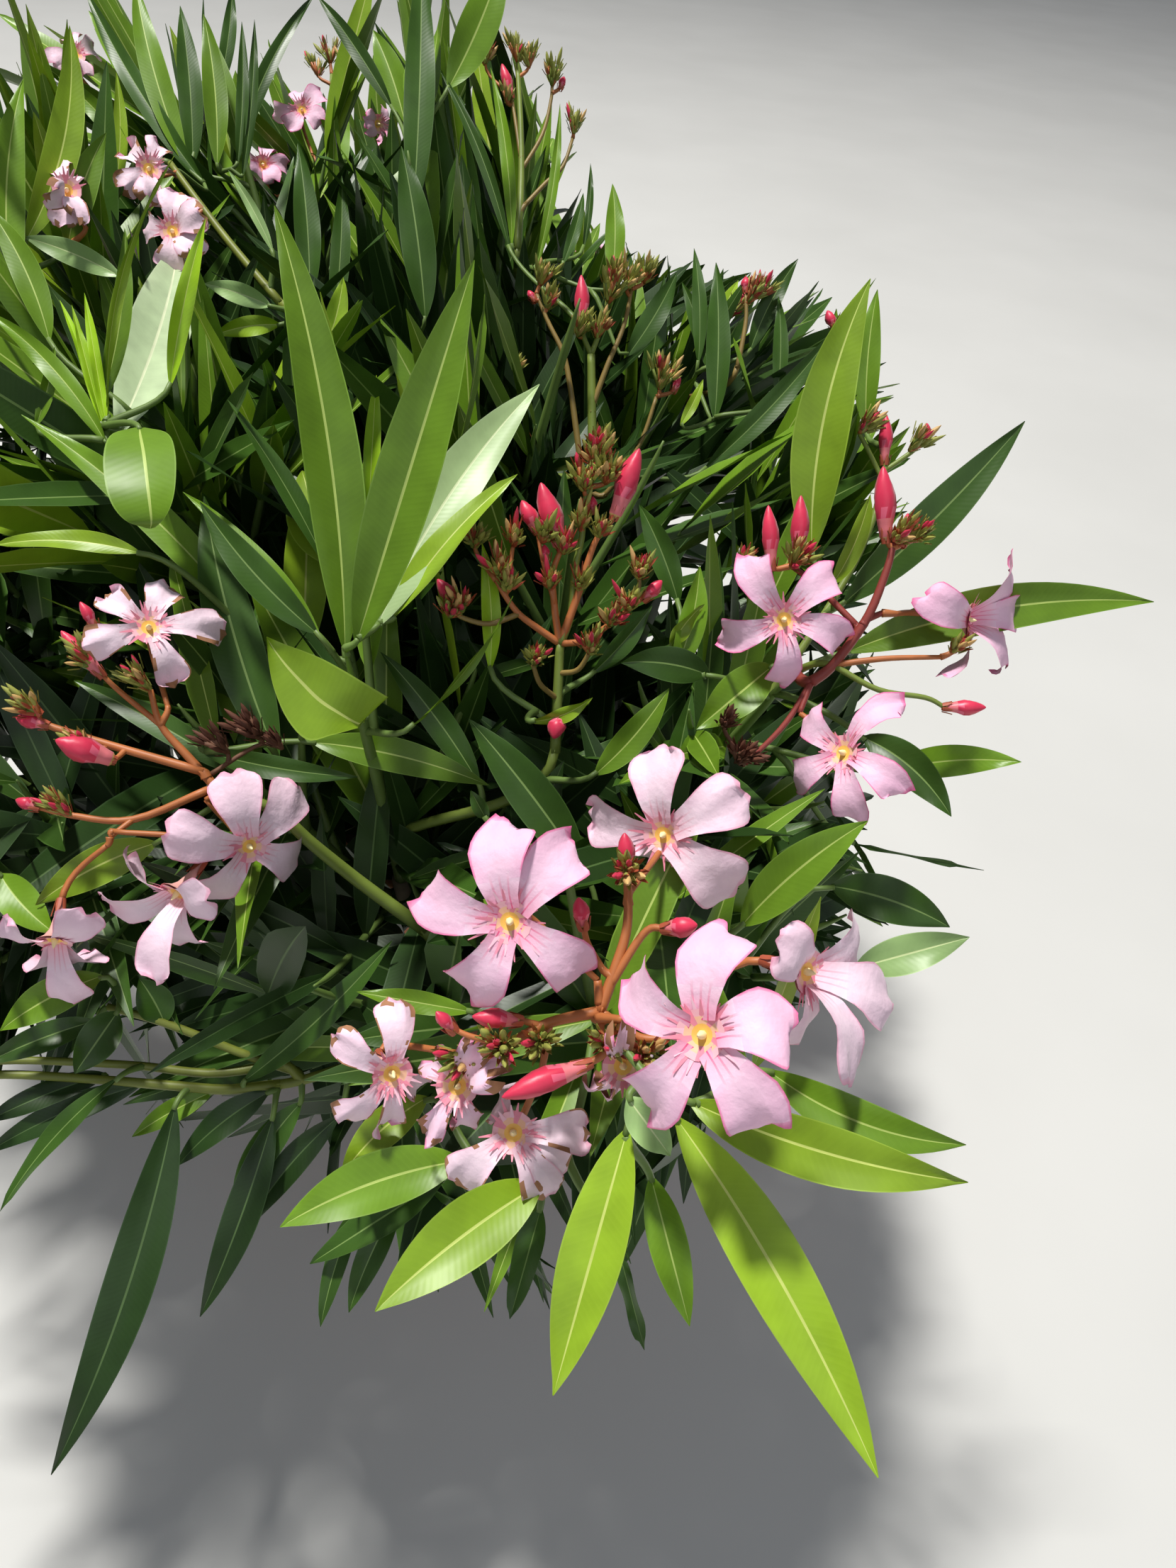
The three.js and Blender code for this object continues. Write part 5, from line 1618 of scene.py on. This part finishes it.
def cluster(mass, centre, count, spread, draw, way=None, dry=False):
    """A knot of small buds and bracts at the end of a flower stalk."""
    way = mass.direction if way is None else way
    red = RED_SHARE_AT_BACK if mass.name in GREEN_BUD_MASSES else RED_SHARE
    for number in range(int(count * BUDS_PER_COUNT)):
        lean = ranged(KNOT_LEAN, draw())
        own = unit(spread_from(way, lean, number * GOLDEN_TURN + KNOT_TURN * draw()) + way * 0.3)
        foot = centre + own * spread * ranged(KNOT_REACH, draw())
        stalk = "stalk_brown" if dry else "stalk_red" if draw() < RED_STALK_SHARE else "stalk_green"
        twig(mass, smooth_path([centre, foot], 3), KNOT_STALK_RADIUS, 5, stalk)
        look = "bud_red" if draw() < red else "bud_base" if draw() < BASE_LOOK_SHARE else "sepal_green"
        sepal_look = "sepal_red" if draw() < red * RED_SEPALS_PER_RED_BUD else "sepal_green"
        if dry:
            look = sepal_look = "bud_dry"
        length = ranged(SMALL_BUD_LENGTH, draw())
        small_bud(mass, foot, own, length, ranged(SMALL_BUD_RADIUS, draw()), look)
        sepal_length = ranged(SMALL_SEPAL_LENGTH, draw())
        sepals(mass, foot, own, SMALL_SEPALS, sepal_length, SMALL_SEPAL_WIDTH, sepal_look)


# How far a petal's tip is from the throat: what a pixel may give, and what it is kept to
TIP_RANGE = (18.0, 31.0)
KEPT_RANGE = (18.5, 29.0)


def petal_tip(centre, normal, x, y):
    """Where a pixel's ray meets the flower's face, kept within a petal's length."""
    way = ray(x, y)
    depth = ((centre - 4 * normal - CAMERA_AT) @ normal) / (way @ normal)
    point = CAMERA_AT + depth * way
    distance = np.linalg.norm(point - centre)
    if TIP_RANGE[0] < distance < TIP_RANGE[1] and depth > 0:
        return point
    wanted = min(max(distance, KEPT_RANGE[0]), KEPT_RANGE[1])
    offset = CAMERA_AT - centre
    a, b, c = way @ way, 2 * way @ offset, offset @ offset - wanted ** 2
    inside = b * b - 4 * a * c
    if inside < 0:
        return CAMERA_AT - way * b / (2 * a)
    depths = [(-b - math.sqrt(inside)) / (2 * a), (-b + math.sqrt(inside)) / (2 * a)]
    ends = [CAMERA_AT + d * way for d in depths]
    return min(ends, key=lambda end: abs((end - centre) @ normal))


for mass, middle, tilt, bearing, joint, age, fullness, tips in by_mass(HERO_FLOWERS):
    centre = at_pixel(middle)
    normal = tilted(tilt, bearing)
    ends = [petal_tip(centre, normal, x, y) for x, y in tips]
    carrier = at_pixel(joint)
    link(mass, carrier, centre - normal * TUBE_LENGTH - carrier, "stalk_red", 1.0)
    flower(mass, centre, normal, ends, carrier, shape_draw, age, True, fullness)

for mass, base, tip, radius in by_mass(BUDS):
    foot, end = at_pixel(base), at_pixel(tip)
    link(mass, foot, end - foot, "stalk_red", 0.8)
    bud(mass, foot, end, radius)

for knots, look, radius in [(CLUSTERS, "stalk_red", 0.8), (DRY_KNOTS, "stalk_brown", 0.7)]:
    for mass, place, count, spread in by_mass(knots):
        link(mass, at_pixel(place), mass.direction, look, radius)
        cluster(mass, at_pixel(place), count, spread, shape_draw, dry=knots is DRY_KNOTS)


# Twigs, flowers and leaves by rule

# The source's side twigs come first, and the extra ones start between them
SIDE_TWIGS = 8
SOURCE_TWIGS = 2
SIDE_START = 0.3
SIDE_STEP = 0.22
EXTRA_START = 0.1
EXTRA_STEP = 0.115
EXTRA_TURN = 61.0
SIDE_SHARE = 0.72
SIDE_SHORTEN = 0.3
SIDE_SPREAD = 38.0
SIDE_RISE = 0.25
SIDE_RADII = (2.3, 1.3)
MAIN_WHORLS = 8
SIDE_WHORLS = 4
# Where a twig's first and last whorls are, as shares of its length
MAIN_FIRST_WHORL = 0.08
SIDE_FIRST_WHORL = 0.3
SHOOT_FIRST_WHORL = 0.2
LAST_WHORL = 0.985
SPACE_SLACK = 18.0
SIDE_SLACK = 6.0
# Tries for a leaf's place: each is more random than the last, and its leaf shorter
LEAF_TRIES = 7
TRY_JITTER = 7.0
TRY_SHRINK = 0.06
BROAD_ROWS = slice(3, 7)
# Shoots lower down, on the stems and boughs
SHOOT_LENGTH = 105.0
SHOOT_SPREAD = 48.0
SHOOT_RISE = 0.5
SHOOT_WHORLS = 5
SHOOT_SLACK = 60.0
TWIG_POINT_RADIUS = 0.45
# Side twigs carry flowers where the photograph can't show them: where they end this many pixels past
# its frame, or point away from the camera, this far back and no higher than this
FRAME_MARGIN = 90
AWAY_SHARE = 0.3
AWAY_FROM = 120.0
AWAY_BELOW = 600.0
SPRAY_SHARE = 0.6
# A spray: its knot's count and spread, its bud's length and radius, how far its flowers spread in
# degrees and the range of how far they stand out, and the share of them that are newly open
SPRAY_KNOT = (5, 7)
SPRAY_BUD = (21, 2.6)
SPRAY_SPREAD = 34
SPRAY_TURN = 30
SPRAY_REACH = (24, 12)
NEW_SHARE = 0.7
# The tips of a flower's petals by rule: the range of their distance as a share of the flower's
# radius, in a spray and at a mass's head, how far they vary in turn, and how far they curl back
SPRAY_TIPS = (0.9, 0.12)
HEAD_TIPS = (0.93, 0.12)
TIP_TURN = 0.15
TIP_BACK = 3
# At a mass's head: a bud's stalk, knot, length and radius, and a flower's stalk, joint and knot
BUD_STALK_SHARE = 0.8
BUD_STALK_RADII = (1.5, 0.9)
BUD_KNOT = (9, 9)
HEAD_BUD = (19, 2.9)
JOINT_SHARE = 0.45
JOINT_RADII = (1.6, 1.1)
JOINT_KNOT = (5, 8)
FLOWER_MASSES_BY_PIXEL = {mass_name for mass_name, *_ in HERO_FLOWERS} | {
    "rosette", "top", "back_mid", "front_low"}
BUD_MASSES = {"back_right"}
UPRIGHT_MASSES = {
    "rosette", "left_mid", "bud_mid", "bud_back", "top", "right_back", "right_bloom", "far_left",
    "far_left_back", "back_left", "back_mid", "back_right", "back",
}
UPRIGHT_DROOP = 0.03
# How much painted light each mass's leaves get by rule, from painted sunlight on lit masses to painted shade
# on shaded ones
MASS_PAINTED_LIGHT = {
    "front_bloom": 0.6, "front_right": 0.33, "front_low": 0.22, "rosette": 0.6, "left_bloom": 0.45,
    "left_mid": 0.6, "left_front": 0.3, "left_low": 0.15, "right_bloom": 0.5, "right_low": 0.25,
    "right_back": 0.5, "bud_mid": 0.45, "bud_back": 0.45, "top": 0.5, "far_left": 0.65,
    "far_left_low": 0.4, "far_left_back": 0.6, "back_left": 0.52, "back_left_low": 0.5, "back": 0.45,
    "back_mid": 0.45, "back_right": 0.42, "back_low": 0.4,
}
# The least painted light for each tone, from painted sunlight down to painted shade
TONES_BY_PAINTED_LIGHT = [("sun", 0.62), ("mid", 0.36), ("deep", 0.14), ("shade", -math.inf)]
# Room that leaves keep: past the CAD box, round the pot, over its rim and over the floor
BOX_SLACK = 12.0
POT_ROOM = 158.0
RIM_ROOM = 4.0
FLOOR_ROOM = 12.0
low_limit = np.array(cad_low) / MM - BOX_SLACK
high_limit = np.array(cad_high) / MM + BOX_SLACK


def inside_space(points, mass, slack):
    """Are points no further than slack past the middle between this mass and any other?"""
    return bool((points @ mass.away.T - mass.border > -slack).all())


def inside_box(points):
    """Are points within the CAD box and its slack?"""
    return bool((points >= low_limit).all() and (points <= high_limit).all())


def allowed(points, mass, slack):
    """Do points keep within the box and the mass's own space, and off the pot and the floor?"""
    over_pot = np.hypot(points[:, 0], points[:, 1]) < POT_ROOM
    low = over_pot & (points[:, 2] < POT_HEIGHT + RIM_ROOM)
    if not inside_box(points) or low.any() or (points[:, 2] < FLOOR_ROOM).any():
        return False
    return inside_space(points, mass, slack)


def tone_of(mass, height, draw):
    """A leaf's tone, which is painted light: lighter on masses with more painted light and nearer the end of
    its twig.
    """
    light = MASS_PAINTED_LIGHT[mass.name] * (0.35 + 0.75 * height) + 0.35 * (draw() - 0.5)
    return next(tone for tone, least in TONES_BY_PAINTED_LIGHT if light > least)


def grow_leaves(mass, path, whorls, first_share, draw, grown, slack=SPACE_SLACK, dark=False):
    """Whorls of three leaves along a twig, each where the tries find room for it."""
    upright = mass.name in UPRIGHT_MASSES
    low_spread, top_spread = UPRIGHT_SPREADS if upright else LEANING_SPREADS
    droop = UPRIGHT_DROOP if upright else LEAF_DROOP
    axis = unit(path[-1] - path[0])
    turn_start = draw() * 360
    t = RULE_SHARES[:, None]
    for whorl in range(whorls):
        rise = whorl / (whorls - 1)
        root = point_at(path, mix(first_share, LAST_WHORL, rise))
        spread = mix(low_spread, top_spread, rise)
        for number in range(3):
            turn = turn_start + (number + whorl / 2) * 120
            full = LEAF_LENGTH * (1 + LEAF_LENGTH_SPREAD * (draw() - 0.5) * 2)
            for attempt in range(LEAF_TRIES):
                jitter = LEAF_JITTER + TRY_JITTER * attempt
                own_turn = turn + jitter * (draw() - 0.5) * 2
                way = spread_from(axis, spread + jitter * (draw() - 0.5), own_turn)
                length = full * (1 - TRY_SHRINK * attempt)
                midrib = root + way * length * t - UP * length * droop * t ** 2
                side = unit(np.cross(way, axis))
                face = np.cross(side, way)
                face = face if face @ axis > 0 else -face
                edge = side * length * LEAF_WIDTH_SHARE[1] / 2
                broad = midrib[BROAD_ROWS]
                spots = np.concatenate([midrib[1:], broad + edge, broad - edge])
                if not allowed(midrib[3:], mass, slack) or not keeps_clear(spots):
                    continue
                tone = tone_of(mass, rise, draw)
                # Shoots low on the stems and boughs get painted shade: deep in place of sun, shade for every
                # other tone
                if dark:
                    tone = "deep" if tone == "sun" else "shade"
                grown.append((midrib, face, length, draw(), draw(), draw(), tone))
                break


def leafy_twig(mass, path, whorls, first_share, sides, draw, grown, **how):
    """A twig and its leaves. A twig without room for any leaf isn't drawn."""
    before = len(grown)
    grow_leaves(mass, path, whorls, first_share, draw, grown, **how)
    if len(grown) == before:
        return False
    twig(mass, path, twig_radii(*SIDE_RADII, len(path)), sides, "twig_green")
    return True


def twig_radii(foot, top, count):
    """A twig's radii from its foot on: it ends in a thin point between its last leaves."""
    return np.interp(np.linspace(0, 1, count), [0, 0.85, 1], [foot, top, TWIG_POINT_RADIUS])


def bent_twig(start, end, axis):
    """A twig that leaves along one way and rises to its end."""
    way, distance = way_and_length(start, end)
    leave = unit(way * 1.6 - UP * 0.25 + axis * 0.2)
    arrive = unit(way + UP * 0.35)
    return bezier(start, start + leave * distance * 0.35, end - arrive * distance * 0.3, end, 24)


def unseen(end, way):
    """Is a twig's end past the photograph's frame, or turned away behind the crown?"""
    x, y, _ = to_pixels(end)
    if x < -FRAME_MARGIN or y < -FRAME_MARGIN:
        return True
    return bool(way @ FORWARD > AWAY_SHARE and end[1] > AWAY_FROM and end[2] < AWAY_BELOW)


def open_tips(centre, way, turn, reach, draw):
    """The tips of a flower's five petals, a little behind its throat."""
    first, second = sideways(way)
    tips = []
    for number in range(5):
        angle = turn + number * 2 * math.pi / 5 + TIP_TURN * (draw() - 0.5)
        outward = first * math.cos(angle) + second * math.sin(angle)
        tips.append(centre + outward * FLOWER_RADIUS * ranged(reach, draw()) - way * TIP_BACK)
    return tips


def spray(mass, end, way, draw):
    """Two flowers, a bud and a knot of small buds at a twig's end."""
    length, radius = SPRAY_BUD
    cluster(mass, end + way * 6, *SPRAY_KNOT, draw, way)
    bud(mass, end, end + unit(way + UP * 0.8) * length, radius)
    turn_start = draw() * 360
    for number in range(2):
        own = spread_from(way, SPRAY_SPREAD, turn_start + 180 * number + SPRAY_TURN * draw())
        centre = end + own * ranged(SPRAY_REACH, draw())
        tips = open_tips(centre, own, draw() * FULL_TURN, SPRAY_TIPS, draw)
        if inside_box(np.array(tips)):
            flower(mass, centre, own, tips, end, draw, "open" if draw() < NEW_SHARE else "round")


def side_paths(mass, main):
    """The source's two side twigs and some more. The source's draws keep these in their places."""
    turn_start = mass.random() * 360
    paths = []
    for number in range(SIDE_TWIGS):
        turn = turn_start + GOLDEN_TURN * number
        spread = SIDE_SPREAD
        if number < SOURCE_TWIGS:
            share = SIDE_START + SIDE_STEP * number
            spread += LEAF_JITTER * (mass.random() - 0.5)
        else:
            share = EXTRA_START + EXTRA_STEP * (number - SOURCE_TWIGS)
            turn += EXTRA_TURN
        root = point_at(main, share)
        way = unit(spread_from(mass.direction, spread, turn) + UP * SIDE_RISE)
        end = root + way * (mass.length * SIDE_SHARE * (1 - share * SIDE_SHORTEN))
        clear = keeps_clear(smooth_path([root, end], 6), TWIG_IN_FRONT)
        if inside_space(end[None], mass, SIDE_SLACK) and clear:
            paths.append(bent_twig(root, end, mass.direction))
    return paths


def head_stalk(mass, end, radii):
    """A stalk from a mass's head."""
    twig(mass, smooth_path([mass.head, end], 6), np.linspace(*radii, 6), 7, "stalk_red")


def end_flowers(mass):
    """The flowers at a mass's head, and buds in place of those that the photograph doesn't show."""
    turn_start = mass.random() * 360
    for number in range(mass.flowers):
        turn = turn_start + number * 360 / mass.flowers
        spread = STALK_SPREAD + LEAF_JITTER * mass.random() if mass.flowers > 1 else 0
        way = spread_from(mass.direction, spread, turn)
        length = STALK_LENGTH * (1 + STALK_LENGTH_SPREAD * (mass.random() - 0.5) * 2)
        centre = mass.head + way * (length + FLOWER_DEPTH)
        tips = open_tips(centre, way, mass.random() * FULL_TURN, HEAD_TIPS, shape_draw)
        if mass.name in BUD_MASSES or not keeps_clear(np.array([centre, *tips])):
            bud_length, bud_radius = HEAD_BUD
            end = mass.head + way * length * BUD_STALK_SHARE
            head_stalk(mass, end, BUD_STALK_RADII)
            cluster(mass, end, *BUD_KNOT, shape_draw, way)
            bud(mass, end, end + way * bud_length, bud_radius)
            continue
        middle = mass.head + way * length * JOINT_SHARE
        head_stalk(mass, middle, JOINT_RADII)
        cluster(mass, middle, *JOINT_KNOT, shape_draw, way)
        flower(mass, centre, way, tips, middle, shape_draw)


def low_shoots(mass, draw, grown):
    """Leafy shoots along the limb that carries a mass, their leaves in painted shade."""
    path = mass.limb_path
    for number, share in enumerate(mass.shoot_shares):
        root = point_at(path, share)
        spot = int(share * (len(path) - 2))
        axis = unit(path[spot + 1] - path[spot])
        way = spread_from(axis, SHOOT_SPREAD, number * GOLDEN_TURN + 360 * draw())
        end = root + unit(way + UP * SHOOT_RISE) * SHOOT_LENGTH
        clear = keeps_clear(smooth_path([root, end], 6), TWIG_IN_FRONT)
        if allowed(end[None], mass, SHOOT_SLACK) and clear:
            leafy_twig(mass, bent_twig(root, end, axis), SHOOT_WHORLS, SHOOT_FIRST_WHORL, 6, draw,
                       grown, slack=SHOOT_SLACK, dark=True)


def leaf_blades(mass, grown):
    """The blades of all the leaves that a mass has grown."""
    paths, faces, lengths, seeds, folded, broad, tones = zip(*grown)
    lengths, seeds, folded, broad = (np.array(row) for row in (lengths, seeds, folded, broad))
    folds = np.radians(ranged(RULE_FOLD, folded))
    waves = np.stack([ranged(RULE_WAVE, broad), FULL_TURN * seeds], axis=1)
    widths = lengths * mix(*LEAF_WIDTH_SHARE, broad)
    grids = leaf_grids(np.array(paths), np.array(faces), widths, folds, waves, RULE_SHARES, RULE_ACROSS)
    places = leaf_places(lengths, seeds, RULE_SHARES, RULE_ACROSS)
    BATCHES["leaves", mass.stem].grids(grids, leaf_marks(tones, RULE_ACROSS), places)


for index, mass in enumerate(MASSES):
    main = smooth_path([mass.start, mass.head], 24)
    twig(mass, main, twig_radii(TWIG_START_RADIUS, TWIG_TIP_RADIUS, 24), 8, "twig_green")
    sides = side_paths(mass, main)
    if mass.name not in FLOWER_MASSES_BY_PIXEL and mass.flowers:
        end_flowers(mass)
    draw = seeded(LEAF_SEED + SEED_STEP * index)
    grown = []
    grow_leaves(mass, main, MAIN_WHORLS, MAIN_FIRST_WHORL, draw, grown)
    for path in sides:
        if leafy_twig(mass, path, SIDE_WHORLS, SIDE_FIRST_WHORL, 7, draw, grown):
            way = unit(path[-1] - path[-4])
            if unseen(path[-1], way) and draw() < SPRAY_SHARE:
                spray(mass, path[-1], way, draw)
    low_shoots(mass, draw, grown)
    leaf_blades(mass, grown)

for batch in BATCHES.values():
    if batch.size:
        batch.build()


# Pot and soil

POT_SIDES = 120
POT_FLOOR = 12.5
CORNER_ROUNDING = 3.2
PROFILE_GAP = 5.0
SOIL_RINGS = 60
SOIL_SIDES = 160
SOIL_LUMPS = 46
LUMP_RISE = 0.02
LUMP_LIMITS = (-3, 1.3)


def turned(radii, heights, turns):
    """Rings round the pot's axis. radii and heights are a number a ring, or one a point."""
    rings = np.broadcast_arrays(radii * np.cos(turns), radii * np.sin(turns), heights)
    return np.stack(rings, axis=-1)


def pot_radius(height):
    return mix(POT_BASE_RADIUS, POT_RIM_RADIUS - POT_RIM_STEP, height / POT_HEIGHT)


def rounded(corner_points, reach, steps=4):
    """A profile with its corners rounded."""
    points = [np.array(p, float) for p in corner_points]
    out = [points[0]]
    for before, here, after in zip(points, points[1:], points[2:]):
        toward = here - before
        away = after - here
        cut = min(reach, np.linalg.norm(toward) / 2.2, np.linalg.norm(away) / 2.2)
        a = here - unit(toward) * cut
        b = here + unit(away) * cut
        for step in range(steps + 1):
            t = step / steps
            out.append(a * (1 - t) ** 2 + here * 2 * t * (1 - t) + b * t ** 2)
    out.append(points[-1])
    return out


def dense(profile, gap):
    """A profile with a point at least every gap."""
    out = []
    for a, b in zip(profile, profile[1:]):
        count = max(1, int(np.linalg.norm(b - a) / gap))
        out.extend(a + (b - a) * k / count for k in range(count))
    out.append(profile[-1])
    return np.array(out)


band_foot = POT_HEIGHT - POT_RIM_BAND
pot_profile = [
    (2, 0.2), (POT_BASE_RADIUS - 0.3, 0.2), (pot_radius(band_foot), band_foot),
    (pot_radius(band_foot) + POT_RIM_STEP, band_foot + 1), (POT_RIM_RADIUS, POT_HEIGHT),
    (pot_radius(POT_HEIGHT) - POT_WALL, POT_HEIGHT), (pot_radius(SOIL_TOP) - POT_WALL - 0.2, SOIL_TOP - 6),
    (pot_radius(14) - POT_WALL, POT_FLOOR), (2, POT_FLOOR - 0.2),
]
profile = dense(rounded(pot_profile, CORNER_ROUNDING), PROFILE_GAP)
turn = full_circle(POT_SIDES)
radii, heights = profile[:, :1], profile[:, 1:]
# Low rings from throwing, and finer ones that wind round the pot
throwing_lines = 0.25 * np.sin(heights / 3.1) + 0.2 * np.sin(heights / 1.7 + 3 * turn) * 0.5
pot = Batch("pot_thrown", "clay", [CLAY], ["pot"])
pot.grids(turned(radii + throwing_lines, heights, turn)[None], 0, closed=True)
pot.build()

turn = full_circle(SOIL_SIDES)
radii = np.linspace(1.5, pot_radius(SOIL_TOP) - POT_WALL - 0.5, SOIL_RINGS)[:, None]
draw = seeded(SOIL_SEED)
lumps = np.zeros((SOIL_RINGS, SOIL_SIDES))
for _ in range(SOIL_LUMPS):
    size = 3 + 14 * draw()
    kx = (draw() - 0.5) * FULL_TURN / size
    ky = (draw() - 0.5) * FULL_TURN / size
    phase = radii * np.cos(turn) * kx + radii * np.sin(turn) * ky + draw() * FULL_TURN
    lumps += np.sin(phase) * size * LUMP_RISE
top = turned(radii, SOIL_TOP - 1.4 + np.clip(lumps, *LUMP_LIMITS), turn)
foot = turned(np.array([[pot_radius(14) - POT_WALL - 0.6]]), np.array([[POT_FLOOR + 0.5]]), turn)
soil = Batch("soil_surface", "soil", [SOIL], ["soil"])
soil.grids(np.concatenate([top, foot])[None], 0, closed=True)
soil.build()


# Stage

FLOOR_SIDE = 16.0
FLOOR_DROP = 0.0004
side = FLOOR_SIDE / 2
corners = [(x, y, -FLOOR_DROP) for x, y in [(-side, -side), (side, -side), (side, side), (-side, side)]]
floor_mesh = bpy.data.meshes.new("floor")
floor_mesh.from_pydata(corners, [], [(0, 1, 2, 3)])
floor_mesh.materials.append(FLOOR)
floor = bpy.data.objects.new("floor", floor_mesh)
bpy.context.scene.collection.objects.link(floor)


def placed(name, data, axes, place):
    """Puts a lamp or camera in the scene, by its right, up and back directions and its place."""
    thing = bpy.data.objects.new(name, data)
    columns = [*axes, place]
    thing.matrix_world = Matrix([[column[k] for column in columns] for k in range(3)] + [[0, 0, 0, 1]])
    bpy.context.scene.collection.objects.link(thing)
    return thing


def area_light(name, place, target, size, watts, colour):
    """A round lamp that faces its target."""
    data = bpy.data.lights.new(name, "AREA")
    data.shape = "DISK"
    data.size = size
    data.energy = watts
    data.color = colour
    back = unit(np.array(place) - np.array(target))
    right = unit(np.cross(UP, back))
    placed(name, data, [right, np.cross(back, right), back], place)


area_light("key", (-1.5, 0.8, 6.1), (0.0, -0.1, 0.4), 0.6, 470.0, (1.0, 0.975, 0.93))
area_light("fill", (0.6, -2.2, 2.0), (0.0, 0.0, 0.4), 2.5, 12.0, (0.92, 0.96, 1.0))

world = bpy.data.worlds.new("studio")
world.use_nodes = True
feed(world.node_tree.nodes["Background"], {"Color": (0.85, 0.90, 1.0, 1), "Strength": 0.21})
bpy.context.scene.world = world
bpy.context.scene.view_settings.view_transform = "Standard"

camera_data = bpy.data.cameras.new("camera")
camera_data.sensor_width = SENSOR_WIDTH
camera_data.lens = SENSOR_WIDTH * FOCAL_PIXELS / PHOTO_HEIGHT
camera_data.clip_start = 0.01
camera_data.clip_end = 60.0
axes = [CAMERA_RIGHT, CAMERA_UP, -FORWARD]
bpy.context.scene.camera = placed("camera", camera_data, axes, CAMERA_AT * MM)
